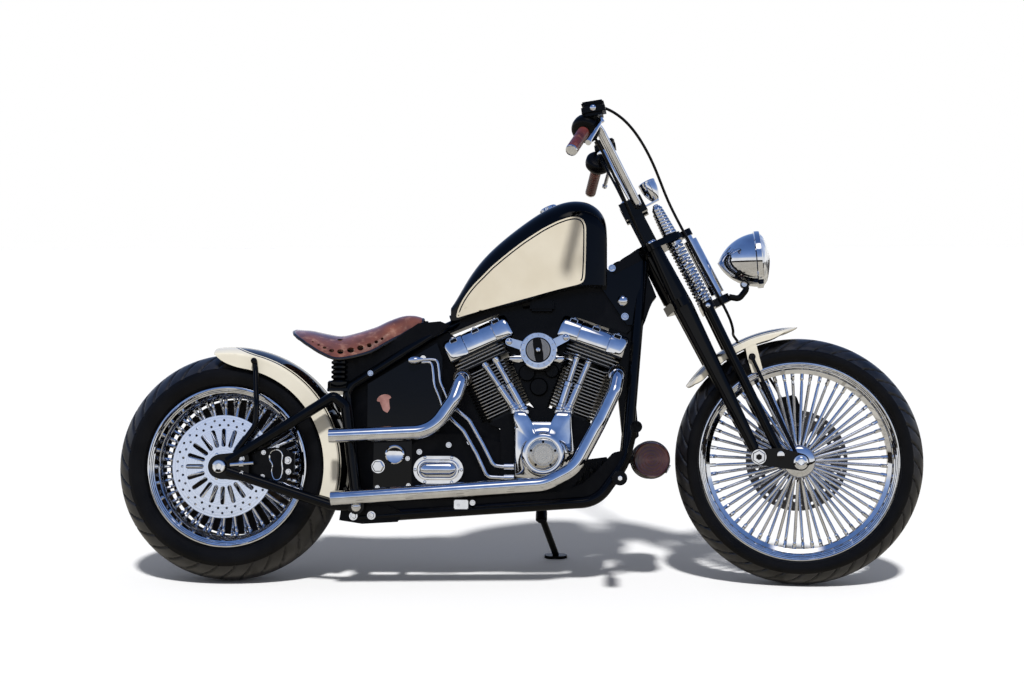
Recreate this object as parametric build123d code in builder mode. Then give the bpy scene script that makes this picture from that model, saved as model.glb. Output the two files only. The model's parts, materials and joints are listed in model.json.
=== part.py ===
from build123d import *
import os
from math import atan2, cos, degrees, radians, sin, sqrt

# A long, low bobber motorcycle with a springer fork and a V-twin engine.
# Lengths are millimetres. The bike is drawn upright: X forward, Y to its left, Z up, with the
# origin on the ground under the rear axle. The fork is drawn about the steering axis, and each
# wheel about its own axle. The last section leans the whole bike onto its side stand.

os.makedirs("parts", exist_ok=True)

# ---------------------------------------------------------------- driving dimensions
WHEELBASE = 1640.0
RAKE = 27.0
TRAIL = 60.0
LEAN = 9.5
STEER = -4.7
FIT = 0.3
RUNNING_GAP = 5.5

REAR_TYRE_R = 328.0
REAR_TYRE_WIDTH = 180.0
REAR_CROWN_R = 100.0
REAR_RIM_R = 230.0
REAR_RIM_WIDTH = 154.0
FRONT_TYRE_R = 351.0
FRONT_TYRE_WIDTH = 120.0
FRONT_CROWN_R = 60.0
FRONT_RIM_R = 283.0
FRONT_RIM_WIDTH = 84.0
TYRE_WALL = 9.0
DISC_R = 146.0
DISC_THICK = 5.0
SPOKE_COUNT = 60
SPOKE_R = 4.0
HUB_REACH = 130.0

REAR_AXLE_R = 12.7
FRONT_AXLE_R = 10.0
AXLE_BORE_R = 6.0
AXLE_BORE_DEPTH = 24.0

FRAME_TUBE_R = 16.0
SEAT_TUBE_R = 14.0
BACKBONE_R = 24.0
RAIL_Y = 105.0
HEAD_TUBE_R = 30.0
STEM_R = 12.7
SWINGARM_Y = 150.0

FORK_LEG_Y = 88.0
HANDLEBAR_R = 12.7
GRIP_R = 17.0
PIPE_R = 20.0
PIPE_WALL = 2.5

ENGINE_Y = 70.0
FIN_Y = 75.0
PRIMARY_INNER_Y = 133.0
PRIMARY_OUTER_Y = 186.0

# ---------------------------------------------------------------- where each body stands
steer_foot = WHEELBASE + TRAIL
rake_cos = cos(radians(RAKE))
rake_sin = sin(radians(RAKE))
# The front axle about the steering axis: forward of it, and up along it.
front_axle_n = -TRAIL * rake_cos + FRONT_TYRE_R * rake_sin
front_axle_s = TRAIL * rake_sin + FRONT_TYRE_R * rake_cos
steering_plane = Plane(
    origin=(steer_foot, 0, 0), x_dir=(rake_cos, 0, rake_sin), z_dir=(-rake_sin, 0, rake_cos)
)
wheel_turn = Rotation(-90, 0, 0)


def lowest_point(place, tyre_r, crown_r):
    """Height of the lowest point of a tyre whose axle is the placed local Z axis."""
    axle = (place * Location((0, 0, 1))).position - place.position
    return place.position.Z - (tyre_r - crown_r) * sqrt(1 - axle.Z**2) - crown_r


def fork_on(bike):
    return bike * steering_plane.location * Rotation(0, 0, STEER)


def front_wheel_on(bike):
    return fork_on(bike) * Location((front_axle_n, 0, front_axle_s)) * wheel_turn


def rear_wheel_on(bike):
    return bike * Location((0, 0, REAR_TYRE_R)) * wheel_turn


leaned = Rotation(-LEAN, 0, 0)
rear_height = lowest_point(rear_wheel_on(leaned), REAR_TYRE_R, REAR_CROWN_R)
front_height = lowest_point(front_wheel_on(leaned), FRONT_TYRE_R, FRONT_CROWN_R)
pitch = degrees(atan2(front_height - rear_height, WHEELBASE))
bike_place = Location((0, 0, -rear_height)) * Rotation(0, pitch, 0) * leaned
fork_place = fork_on(bike_place)
front_wheel_place = front_wheel_on(bike_place)
rear_wheel_place = rear_wheel_on(bike_place)


# ---------------------------------------------------------------- shared ways of making shapes
def sweep_tube(points, bends, outer, inner=0.0):
    """Round tube of straight runs joined by tangent arcs, in the open sub-part."""
    with BuildLine() as path:
        if len(points) == 2:
            Line(*points)
        else:
            FilletPolyline(*points, radius=bends)
    with BuildSketch(Plane(origin=path.line @ 0, z_dir=path.line % 0)) as section:
        Circle(outer)
        if inner:
            Circle(inner, mode=Mode.SUBTRACT)
    sweep(section.sketch, path=path.line)


def sweep_cord(points, radius):
    """Cord of one thickness along a smooth curve through the given points."""
    with BuildLine() as path:
        Spline(*points)
    with BuildSketch(Plane(origin=path.line @ 0, z_dir=path.line % 0)) as section:
        Circle(radius)
    sweep(section.sketch, path=path.line)


def rod(start, end, radius, mode=Mode.ADD):
    """Straight round bar between two points, in the open sub-part."""
    start, end = Vector(*start), Vector(*end)
    with BuildSketch(Plane(origin=start, z_dir=end - start)) as section:
        Circle(radius)
    extrude(section.sketch, amount=(end - start).length, mode=mode)


def side_plate(outline, y_from, y_to, mode=Mode.ADD):
    """Plate with an outline in X and Z, between two distances to the left."""
    with BuildSketch(Plane.XZ.offset(-y_to)) as section:
        with BuildLine():
            Polyline(*outline, close=True)
        make_face()
    extrude(section.sketch, amount=y_to - y_from, mode=mode)


def disc_at(x, z, radius, y_from, y_to, mode=Mode.ADD):
    """Round boss across the bike, between two distances to the left."""
    with BuildSketch(Plane.XZ.offset(-y_to)) as section:
        with Locations((x, z)):
            Circle(radius)
    extrude(section.sketch, amount=y_to - y_from, mode=mode)


def revolve_section(points):
    """Ring or bar turned about the local Z axis from (radius, height) points."""
    with BuildSketch(Plane.XZ) as section:
        with BuildLine():
            Polyline(*points, close=True)
        make_face()
    revolve(section.sketch, axis=Axis.Z)


# ---------------------------------------------------------------- wheels, about their axles
RIM_FLANGE = 13.0


def make_tyre(tyre_r, width, crown_r, rim_r, bead_y):
    """Tyre as a real wall: round crown, bulged side walls and two beads."""
    half = width / 2
    shoulder_y = half - 7
    shoulder_r = tyre_r - crown_r + sqrt(max(crown_r**2 - shoulder_y**2, 0))
    bulge_r = (shoulder_r + rim_r) / 2 + 4
    bead_r = rim_r - RIM_FLANGE + FIT / 3
    in_crown = crown_r - TYRE_WALL
    in_y = shoulder_y - TYRE_WALL
    in_r = tyre_r - crown_r + sqrt(max(in_crown**2 - in_y**2, 0))
    with BuildPart() as tyre:
        with BuildSketch(Plane.XZ):
            with BuildLine():
                ThreePointArc((shoulder_r, -shoulder_y), (tyre_r, 0), (shoulder_r, shoulder_y))
                ThreePointArc((shoulder_r, shoulder_y), (bulge_r, half), (rim_r + 1, bead_y + 5))
                Polyline(
                    (rim_r + 1, bead_y + 5), (bead_r, bead_y), (bead_r, bead_y - 8),
                    (rim_r + 2, bead_y - 6), (bulge_r, half - TYRE_WALL), (in_r, in_y),
                )
                ThreePointArc((in_r, in_y), (tyre_r - TYRE_WALL, 0), (in_r, -in_y))
                Polyline(
                    (in_r, -in_y), (bulge_r, TYRE_WALL - half), (rim_r + 2, 6 - bead_y),
                    (bead_r, 8 - bead_y), (bead_r, -bead_y), (rim_r + 1, -bead_y - 5),
                )
                ThreePointArc(
                    (rim_r + 1, -bead_y - 5), (bulge_r, -half), (shoulder_r, -shoulder_y)
                )
            make_face()
        revolve(axis=Axis.Z)
    return tyre


def make_rim(rim_r, width, well_r):
    """Rolled rim: two flanges, bead seats and a dropped well for the spokes."""
    half = width / 2
    seat_r = rim_r - RIM_FLANGE
    half_section = [
        (rim_r, half), (rim_r - 5, half), (seat_r - 5, half - 7), (seat_r - 8, half * 0.42),
        (well_r, half * 0.30),
    ]
    top_section = [
        (well_r + 6, half * 0.26), (seat_r - 1, half * 0.40), (seat_r, half - 10),
        (rim_r, half - 4),
    ]
    outer = half_section + [(r, -y) for r, y in reversed(half_section)]
    inner = [(r, -y) for r, y in reversed(top_section)] + top_section
    with BuildPart() as rim:
        revolve_section(outer + inner)
    return rim


def make_hub(profile, spoke_root, spoke_tip, bore_r):
    """Turned hub with two rows of fat straight spokes that end at the rim's well."""
    root_r, root_y = spoke_root
    tip_r, tip_y = spoke_tip
    # the high corner of a spoke's tip just meets the rim's well
    corner = SPOKE_R * sin(atan2(root_y - tip_y, tip_r - root_r))
    with BuildPart() as spoke:
        rod((root_r, 0, root_y), (tip_r - corner, 0, tip_y), SPOKE_R)
    with BuildPart() as hub:
        revolve_section(profile)
        with PolarLocations(0, SPOKE_COUNT // 2):
            add(spoke.part)
        with PolarLocations(0, SPOKE_COUNT // 2, start_angle=360 / SPOKE_COUNT):
            add(spoke.part.mirror(Plane.XY))
        Cylinder(bore_r, 2 * HUB_REACH, mode=Mode.SUBTRACT)
    return hub


def make_disc(radius, inner_r, y_from, y_to, windows, drill_rows):
    """Brake disc: oval windows round the centre and rows of drilled holes."""
    with BuildPart() as disc:
        with BuildSketch(Plane.XY.offset(y_from)):
            Circle(radius)
            Circle(inner_r, mode=Mode.SUBTRACT)
            count, mid_r, length, width = windows
            with PolarLocations(mid_r, count):
                SlotOverall(length, width, mode=Mode.SUBTRACT)
            for row_r, row_count, hole_r, start in drill_rows:
                with PolarLocations(row_r, row_count, start_angle=start):
                    Circle(hole_r, mode=Mode.SUBTRACT)
        extrude(amount=y_to - y_from)
    return disc


REAR_BEAD_Y = REAR_RIM_WIDTH / 2 - 10.5
FRONT_BEAD_Y = FRONT_RIM_WIDTH / 2 - 10.5
rear_tyre = make_tyre(REAR_TYRE_R, REAR_TYRE_WIDTH, REAR_CROWN_R, REAR_RIM_R, REAR_BEAD_Y)
rear_tyre.part.label = "rear_tyre"
front_tyre = make_tyre(
    FRONT_TYRE_R, FRONT_TYRE_WIDTH, FRONT_CROWN_R, FRONT_RIM_R, FRONT_BEAD_Y
)
front_tyre.part.label = "front_tyre"

REAR_WELL_R = REAR_RIM_R - 30
FRONT_WELL_R = FRONT_RIM_R - 32
rear_rim = make_rim(REAR_RIM_R, REAR_RIM_WIDTH, REAR_WELL_R)
rear_rim.part.label = "rear_rim"
front_rim = make_rim(FRONT_RIM_R, FRONT_RIM_WIDTH, FRONT_WELL_R)
front_rim.part.label = "front_rim"

# Local Z of a wheel points to the bike's left.
REAR_DISC_Y = -112.0
PULLEY_Y = 104.0
PULLEY_WIDTH = 24.0
PULLEY_R = 128.0
REAR_HUB_RIGHT = REAR_DISC_Y
REAR_HUB_LEFT = PULLEY_Y
rear_hub_profile = [
    (0, REAR_HUB_RIGHT), (42, REAR_HUB_RIGHT), (42, REAR_HUB_RIGHT + 12), (33, -90), (33, -62),
    (52, -58), (52, -48), (36, -42), (36, 42), (52, 48), (52, 58), (33, 62), (33, 88),
    (46, REAR_HUB_LEFT - 8), (46, REAR_HUB_LEFT), (0, REAR_HUB_LEFT),
]
rear_hub = make_hub(
    rear_hub_profile, (46, 53), (REAR_WELL_R - FIT / 2, 14), REAR_AXLE_R + FIT
)
rear_hub.part.label = "rear_hub"

FRONT_DISC_Y = 56.0
FRONT_HUB_LEFT = FRONT_DISC_Y
FRONT_HUB_RIGHT = -68.0
front_hub_profile = [
    (0, FRONT_HUB_RIGHT), (22, FRONT_HUB_RIGHT), (44, -58), (47, -46), (47, -34), (34, -26),
    (34, 26), (47, 34), (47, 46), (40, 50), (40, FRONT_HUB_LEFT), (0, FRONT_HUB_LEFT),
]
front_hub = make_hub(
    front_hub_profile, (42, 40), (FRONT_WELL_R - FIT / 2, 8), FRONT_AXLE_R + FIT
)
front_hub.part.label = "front_hub"

rear_disc = make_disc(
    DISC_R, REAR_AXLE_R + 20, REAR_DISC_Y - DISC_THICK, REAR_DISC_Y - FIT / 3,
    (20, 82, 52, 13), [(118, 30, 3.6, 0), (132, 30, 3.6, 6)],
)
rear_disc.part.label = "rear_disc"
front_disc = make_disc(
    DISC_R, FRONT_AXLE_R + 20, FRONT_DISC_Y + FIT / 3, FRONT_DISC_Y + DISC_THICK,
    (12, 78, 44, 20), [(116, 24, 4.5, 0), (131, 24, 4.5, 7.5)],
)
front_disc.part.label = "front_disc"

with BuildPart() as rear_pulley:
    with BuildSketch(Plane.XY.offset(PULLEY_Y + FIT / 3)):
        Circle(PULLEY_R)
        Circle(REAR_AXLE_R + 20, mode=Mode.SUBTRACT)
        with PolarLocations(84, 5):
            Circle(20, mode=Mode.SUBTRACT)
    extrude(amount=PULLEY_WIDTH - 2 * FIT / 3)
rear_pulley.part.label = "rear_pulley"

# ---------------------------------------------------------------- main frame
REAR_CORNER = (388.0, 186.0)
RAIL_FRONT = (1062.0, 234.0)
DOWNTUBE_LOW = (1146.0, 350.0)
SEAT_CORNER = (345.0, 552.0)
SEAT_RAIL_TOP = (648.0, 747.0)
BACKBONE_MID = (980.0, 873.0)
UPRIGHT_Y = 84.0
HEAD_LOW_S = 912.0
HEAD_HIGH_S = 1056.0
# The downtubes, the backbone and the gusset plates all run to the top of the head tube.
head_top = steering_plane.from_local_coords(Vector(0, 0, HEAD_HIGH_S))
DOWNTUBE_TOP = (head_top.X - 23.6, head_top.Z - 15.9)
BACKBONE_FRONT = (head_top.X - 8.6, head_top.Z - 22.9)
GUSSET_TOP = (head_top.X - 24.6, head_top.Z - 4.9)
PIVOT = (388.0, 218.0)
PIVOT_BOSS_R = 22.0
PIVOT_FACE_Y = 121.0
SHELF = (322.0, 548.0)
SHELF_THICK = 8.0
STAND_PIVOT = (900.0, 140.0, 186.0)
STAND_TUBE_R = 10.0
STAND_FOOT = (940.0, 330.0)

# The stand swings in the plane of its own leg and the bike's length.
ground = Plane(bike_place.inverse() * Location((*STAND_FOOT, 0)))
stand_foot = ground.from_local_coords(Vector(0, 0, 10))
stand_leg = stand_foot - Vector(*STAND_PIVOT)
stand_axis = stand_leg.cross(Vector(-1, 0, 0)).normalized()
STAND_EYE_R = 17.0
STAND_EYE_HALF = 13.0
STAND_PIN_R = 6.0

with BuildPart() as frame:
    # right half: rail with its downtube, seat rail with its upright
    sweep_tube(
        [
            (REAR_CORNER[0], -RAIL_Y, REAR_CORNER[1]),
            (RAIL_FRONT[0], -RAIL_Y, RAIL_FRONT[1]),
            (DOWNTUBE_LOW[0], -92, DOWNTUBE_LOW[1]),
            (DOWNTUBE_TOP[0], -20, DOWNTUBE_TOP[1]),
        ],
        [90, 150], FRAME_TUBE_R,
    )
    sweep_tube(
        [
            (SEAT_RAIL_TOP[0] + 20, -16, SEAT_RAIL_TOP[1] + 6),
            (SEAT_RAIL_TOP[0] - 40, -58, SEAT_RAIL_TOP[1] - 26),
            (SEAT_CORNER[0], -UPRIGHT_Y, SEAT_CORNER[1]),
            (REAR_CORNER[0], -UPRIGHT_Y, REAR_CORNER[1]),
        ],
        [80, 45], SEAT_TUBE_R,
    )
    disc_at(*PIVOT, PIVOT_BOSS_R, -PIVOT_FACE_Y, -UPRIGHT_Y)
    # neck gusset plate
    side_plate(
        [GUSSET_TOP, (1096, 900), (1064, 884), (1064, 866), (1150, 740), (1180, 740)],
        -46, -40,
    )
    mirror(about=Plane.XZ)
    sweep_tube(
        [
            (BACKBONE_FRONT[0], 0, BACKBONE_FRONT[1]), (BACKBONE_MID[0], 0, BACKBONE_MID[1]),
            (SEAT_RAIL_TOP[0] - 8, 0, SEAT_RAIL_TOP[1] + 2),
        ],
        [300], BACKBONE_R,
    )
    rod((REAR_CORNER[0], -RAIL_Y, REAR_CORNER[1]), (REAR_CORNER[0], RAIL_Y, REAR_CORNER[1]),
        FRAME_TUBE_R)
    for x, z in ((500, 196), (1010, 230)):
        rod((x, -RAIL_Y, z), (x, RAIL_Y, z), SEAT_TUBE_R)
    rod((SEAT_CORNER[0] + 6, -UPRIGHT_Y, 500), (SEAT_CORNER[0] + 6, UPRIGHT_Y, 500), 10)
    rod((600, -58, 716), (600, 58, 716), 10)
    rod((1152, -80, 420), (1152, 80, 420), 10)
    # gusset spacer under the backbone
    rod((1110, -46, 850), (1110, 46, 850), 12)
    # shelf under the saddle's springs
    with Locations((SHELF[0], 0, SHELF[1])):
        Box(60, 2 * RAIL_Y, SHELF_THICK)
    # lug, pin and washer of the side stand under the left rail
    stand_at = Vector(*STAND_PIVOT)
    stand_face = STAND_EYE_HALF + FIT
    rod(stand_at + stand_axis * stand_face, stand_at + stand_axis * (stand_face + 12), 16)
    rod(stand_at - stand_axis * (stand_face + 6), stand_at - stand_axis * stand_face, 11)
    rod(
        stand_at - stand_axis * stand_face, stand_at + stand_axis * stand_face, STAND_PIN_R
    )
    rod(stand_at + stand_axis * (stand_face + 14), (STAND_PIVOT[0], RAIL_Y, 228), 7)
    # head tube, with room for the turning clamp over it
    with BuildSketch(steering_plane.offset(HEAD_HIGH_S)) as clamp_room:
        Circle(130)
    extrude(clamp_room.sketch, amount=60, mode=Mode.SUBTRACT)
    with BuildSketch(steering_plane.offset(HEAD_LOW_S)) as head_section:
        Circle(HEAD_TUBE_R)
    extrude(head_section.sketch, amount=HEAD_HIGH_S - HEAD_LOW_S)
    with BuildSketch(steering_plane.offset(HEAD_LOW_S)) as stem_bore:
        Circle(STEM_R + FIT)
    extrude(stem_bore.sketch, amount=HEAD_HIGH_S - HEAD_LOW_S, mode=Mode.SUBTRACT)
frame.part.label = "frame"

# ---------------------------------------------------------------- rear end
SWINGARM_FRONT_Y = 145.0
SWINGARM_TUBE_R = 15.0
AXLE_PLATE_THICK = 16.0
AXLE_NUT_R = 18.0
SPACER_R = 24.0
END_GAP = 0.5
FENDER_WALL = 4.0
REAR_FENDER_R = REAR_TYRE_R + 22
REAR_FENDER_HALF = 101.0
STRUT_R = 8.0
STRUT_TOP = (82.0, 630.0)
STRUT_Y = REAR_FENDER_HALF + STRUT_R + FIT

with BuildPart() as swingarm:
    sweep_tube(
        [
            (20, -SWINGARM_Y, 341), (318, -SWINGARM_Y + 2, 527),
            (352, -SWINGARM_FRONT_Y, 500), (PIVOT[0], -SWINGARM_FRONT_Y, PIVOT[1]),
            (312, -SWINGARM_Y + 2, 222), (20, -SWINGARM_Y, 316),
        ],
        [14, 14, 30, 60], SWINGARM_TUBE_R,
    )
    disc_at(*PIVOT, PIVOT_BOSS_R, -SWINGARM_FRONT_Y - SWINGARM_TUBE_R, -PIVOT_FACE_Y - FIT / 3)
    plate_out = -SWINGARM_Y - AXLE_PLATE_THICK / 2
    plate_in = -SWINGARM_Y + AXLE_PLATE_THICK / 2
    with BuildSketch(Plane.XZ.offset(-plate_in)) as axle_plate:
        with Locations((0, REAR_TYRE_R)):
            Circle(34)
        with Locations((62, REAR_TYRE_R + 22)):
            Circle(20)
        with Locations((62, REAR_TYRE_R - 20)):
            Circle(20)
        make_hull()
    extrude(axle_plate.sketch, amount=AXLE_PLATE_THICK)
    disc_at(0, REAR_TYRE_R, REAR_AXLE_R + FIT / 3, plate_out, plate_in, Mode.SUBTRACT)
    disc_at(0, REAR_TYRE_R, SPACER_R + 1, plate_in, plate_in + 12, Mode.SUBTRACT)
    # strut that carries the fender
    sweep_tube(
        [
            (40, -SWINGARM_Y, 366), (98, -147, 446), (98, -146, 510),
            (STRUT_TOP[0] + 4, -STRUT_Y, 604), (STRUT_TOP[0], -STRUT_Y, STRUT_TOP[1]),
        ],
        [50, 60, 40], STRUT_R,
    )
    mirror(about=Plane.XZ)
swingarm.part.label = "swingarm"

with BuildPart() as rear_axle:
    plate_face = SWINGARM_Y + AXLE_PLATE_THICK / 2
    spacer_end = SWINGARM_Y - AXLE_PLATE_THICK / 2 - FIT / 3
    disc_at(0, REAR_TYRE_R, REAR_AXLE_R, -plate_face - 16, plate_face + 16)
    for side_from, side_to in (
        (-plate_face - 13, -plate_face - FIT / 3), (plate_face + FIT / 3, plate_face + 13),
    ):
        with BuildSketch(Plane.XZ.offset(-side_to)) as nut:
            with Locations((0, REAR_TYRE_R)):
                RegularPolygon(AXLE_NUT_R, 6)
        extrude(nut.sketch, amount=side_to - side_from)
    disc_at(0, REAR_TYRE_R, SPACER_R, -spacer_end, REAR_HUB_RIGHT - END_GAP)
    disc_at(0, REAR_TYRE_R, SPACER_R, REAR_HUB_LEFT + END_GAP, spacer_end)
    for face in (-plate_face - 16, plate_face + 16 - AXLE_BORE_DEPTH):
        disc_at(0, REAR_TYRE_R, AXLE_BORE_R, face, face + AXLE_BORE_DEPTH, Mode.SUBTRACT)
rear_axle.part.label = "rear_axle"

# Fenders are drawn about the wheel's axle, with local Z to the bike's left.
REAR_FENDER_DEPTH = 65.0
REAR_FENDER_FROM = -97.0
REAR_FENDER_TO = 16.0


def make_fender(crown_r, half, depth, shoulder, angle_from, angle_to):
    """Fender as a thin wall with a round crown and straight sides, turned about Z."""
    start = radians(angle_from)
    section_plane = Plane(
        origin=(0, 0, 0), x_dir=(cos(start), sin(start), 0), z_dir=(sin(start), -cos(start), 0)
    )
    in_r, in_half = crown_r - FENDER_WALL, half - FENDER_WALL
    rise = shoulder * 0.5
    with BuildPart() as fender:
        with BuildSketch(section_plane) as section:
            with BuildLine():
                Polyline((crown_r - depth, half), (crown_r - shoulder, half))
                ThreePointArc(
                    (crown_r - shoulder, half), (crown_r, 0), (crown_r - shoulder, -half)
                )
                Polyline(
                    (crown_r - shoulder, -half), (crown_r - depth, -half),
                    (crown_r - depth, -in_half), (in_r - shoulder, -in_half),
                )
                ThreePointArc(
                    (in_r - shoulder, -in_half), (in_r, 0), (in_r - shoulder, in_half)
                )
                Polyline(
                    (in_r - shoulder, in_half), (crown_r - depth, in_half),
                    (crown_r - depth, half),
                )
            make_face()
        revolve(section.sketch, axis=Axis.Z, revolution_arc=angle_to - angle_from)
    return fender


rear_fender = make_fender(
    REAR_FENDER_R, REAR_FENDER_HALF, REAR_FENDER_DEPTH, 26, REAR_FENDER_FROM, REAR_FENDER_TO
)
rear_fender.part.label = "rear_fender"

CALIPER_X = 139.0
with BuildPart() as rear_caliper:
    # body straddling the disc, and the bracket that hangs it on the axle
    with Locations((CALIPER_X, -112, REAR_TYRE_R + 6)):
        Box(92, 38, 92)
    fillet(rear_caliper.edges().filter_by(Axis.Y), 14)
    with BuildSketch(Plane.XZ.offset(118)) as bracket:
        with Locations((0, REAR_TYRE_R)):
            Circle(SPACER_R + 12)
        with Locations((CALIPER_X - 20, REAR_TYRE_R + 6)):
            Circle(34)
        make_hull()
    extrude(bracket.sketch, amount=9)
    disc_at(0, REAR_TYRE_R, SPACER_R + FIT / 3, -140, -100, Mode.SUBTRACT)
    slot_from = REAR_DISC_Y - DISC_THICK - RUNNING_GAP + 0.5
    slot_to = REAR_DISC_Y + RUNNING_GAP
    disc_at(0, REAR_TYRE_R, DISC_R + RUNNING_GAP, slot_from, slot_to, Mode.SUBTRACT)
rear_caliper.part.label = "rear_caliper"

# ---------------------------------------------------------------- saddle
# Stations of the leather shell along X: half width, top on the centre line, edge.
SADDLE = (
    # x, half width, top z, edge z
    (184, 72, 728, 716),
    (232, 122, 727, 682),
    (320, 140, 711, 638),
    (420, 104, 738, 662),
    (500, 62, 770, 712),
    (556, 30, 764, 746),
)
LEATHER = 10.0
with BuildPart() as saddle:
    for x, half, top, edge in SADDLE:
        with BuildSketch(Plane.YZ.offset(x)):
            with BuildLine():
                ThreePointArc((-half, edge), (0, top), (half, edge))
                Line((half, edge), (half - LEATHER, edge))
                ThreePointArc(
                    (half - LEATHER, edge), (0, top - LEATHER), (LEATHER - half, edge)
                )
                Line((LEATHER - half, edge), (-half, edge))
            make_face()
    loft()
saddle.part.label = "saddle"

def make_coil(inner_r, outer_r, z_from, z_to, turns):
    """Corrugated sleeve that stands for the turns of a coil spring on local Z."""
    pitch = (z_to - z_from) / turns
    wire = (outer_r - inner_r) * 0.45
    outside = [(outer_r - wire, z_from)]
    for turn in range(turns):
        outside.append((outer_r, z_from + (turn + 0.3) * pitch))
        outside.append((outer_r, z_from + (turn + 0.7) * pitch))
        outside.append((outer_r - wire, z_from + (turn + 1) * pitch))
    with BuildPart() as coil:
        revolve_section([(inner_r, z_from), *outside, (inner_r, z_to)])
    return coil.part


SPRING_Y = 70.0
SADDLE_SPRING_R = 24.0
SADDLE_BAR_Z = 637.0
SADDLE_BAR_R = 7.0
saddle_coil = make_coil(10, SADDLE_SPRING_R, SHELF[1] + SHELF_THICK / 2, SADDLE_BAR_Z - 2, 6)
with BuildPart() as saddle_frame:
    rod((SHELF[0], -92, SADDLE_BAR_Z), (SHELF[0], 92, SADDLE_BAR_Z), SADDLE_BAR_R)
    for side in (1, -1):
        rod((SHELF[0], side * 58, SADDLE_BAR_Z), (596, side * 12, 736), SADDLE_BAR_R - 1)
        rod((SHELF[0], side * SPRING_Y, SADDLE_BAR_Z), (SHELF[0], side * SPRING_Y, 696), 8)
    with Locations((SHELF[0], SPRING_Y, 0), (SHELF[0], -SPRING_Y, 0)):
        add(saddle_coil)
    with Locations((598, 0, 734)):
        Box(32, 40, 22)
    with Locations((540, 0, 738)):
        Box(60, 18, 34)
    add(saddle.part, mode=Mode.SUBTRACT)
    add(frame.part, mode=Mode.SUBTRACT)
saddle_frame.part.label = "saddle_frame"

# ---------------------------------------------------------------- fuel tank
# Stations of the tank along X, each a box section with round top corners.
TANK = (
    # x, half width, underside z, ridge z, top corner radius
    (641, 56, 752, 790, 14),
    (690, 84, 762, 872, 44),
    (790, 106, 788, 984, 58),
    (900, 120, 817, 1064, 66),
    (1000, 122, 844, 1099, 70),
    (1062, 112, 848, 1080, 64),
    (1092, 92, 850, 1010, 50),
)
TUNNEL_HALF = BACKBONE_R + 6
with BuildPart() as fuel_tank:
    for x, half, low, ridge, corner in TANK:
        with BuildSketch(Plane.YZ.offset(x)):
            with BuildLine():
                Line((-half, low), (half, low))
                Line((half, low), (half, ridge - corner))
                CenterArc((half - corner, ridge - corner), corner, 0, 90)
                Line((half - corner, ridge), (corner - half, ridge))
                CenterArc((corner - half, ridge - corner), corner, 90, 90)
                Line((-half, ridge - corner), (-half, low))
            make_face()
    loft()
    # tunnel over the backbone and between the gusset plates
    side_plate(
        [
            (620, 700), (620, 772), (980, 903), (1110, 929), (1110, 700),
        ],
        -TUNNEL_HALF, TUNNEL_HALF, Mode.SUBTRACT,
    )
    side_plate([(1060, 780), (1060, 902), (1110, 902), (1110, 780)], -47, 47, Mode.SUBTRACT)
    add(frame.part, mode=Mode.SUBTRACT)
fuel_tank.part.label = "fuel_tank"

CAP_AT = (929.0, 1077.0)
CAP_TILT = 24.0
CAP_R = 26.0
with BuildPart() as fuel_cap:
    cap_plane = Plane(
        origin=(CAP_AT[0], 0, CAP_AT[1] - 8),
        z_dir=(-sin(radians(CAP_TILT)), 0, cos(radians(CAP_TILT))),
    )
    with BuildSketch(cap_plane) as cap_section:
        Circle(CAP_R)
    extrude(cap_section.sketch, amount=24, taper=8)
    add(fuel_tank.part, mode=Mode.SUBTRACT)
fuel_cap.part.label = "fuel_cap"

# ---------------------------------------------------------------- engine
CRANK = (905.0, 345.0)
# Top fin of each head, and how far its cylinder leans back.
CYLINDERS = (
    # x, z, lean back, rocker box centre along the head
    (722, 660, 25.0, 15),
    (1056, 665, -20.0, -17),
)
BARREL_R = 52.0
BARREL_FINS = 15
FIN_PITCH = 9.6
FIN_THICK = 3.2
BARREL_BASE = -200.0
BARREL_FIN_FROM = -188.0
HEAD_FINS = 4
HEAD_PITCH = 12.0
HEAD_LOW = -38.0
HEAD_Y = (-100.0, 76.0)
ROCKER_HEIGHT = 66.0
ROCKER_LENGTH = 200.0
PUSHROD_Y = -88.0
PUSHROD_R = 8.0
CAM_FACE_Y = -112.0


def cylinder_plane(x, z, lean_back):
    """Plane on a head: local Z up the cylinder, local X forward, local Y left."""
    turn = radians(lean_back)
    return Plane(origin=(x, 0, z), x_dir=(cos(turn), 0, sin(turn)),
                 z_dir=(-sin(turn), 0, cos(turn)))


head_width = HEAD_Y[1] - HEAD_Y[0]
head_mid_y = (HEAD_Y[1] + HEAD_Y[0]) / 2

with BuildPart() as crankcase:
    side_plate(
        [
            (786, 258), (786, 440), (748, 455), (862, 509), (897, 492), (931, 502),
            (1047, 460), (1026, 366), (1016, 300), (968, 246), (860, 238),
        ],
        -ENGINE_Y, ENGINE_Y,
    )
    disc_at(*CRANK, 82, ENGINE_Y, PRIMARY_INNER_Y - FIT / 3)
    for x, z, lean_back, _ in CYLINDERS:
        deck = cylinder_plane(x, z, lean_back)
        with BuildSketch(deck.offset(BARREL_BASE)) as above_deck:
            Rectangle(2 * BARREL_R + 60, 300)
        extrude(above_deck.sketch, amount=60, mode=Mode.SUBTRACT)
    add(frame.part, mode=Mode.SUBTRACT)
crankcase.part.label = "crankcase"

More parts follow.
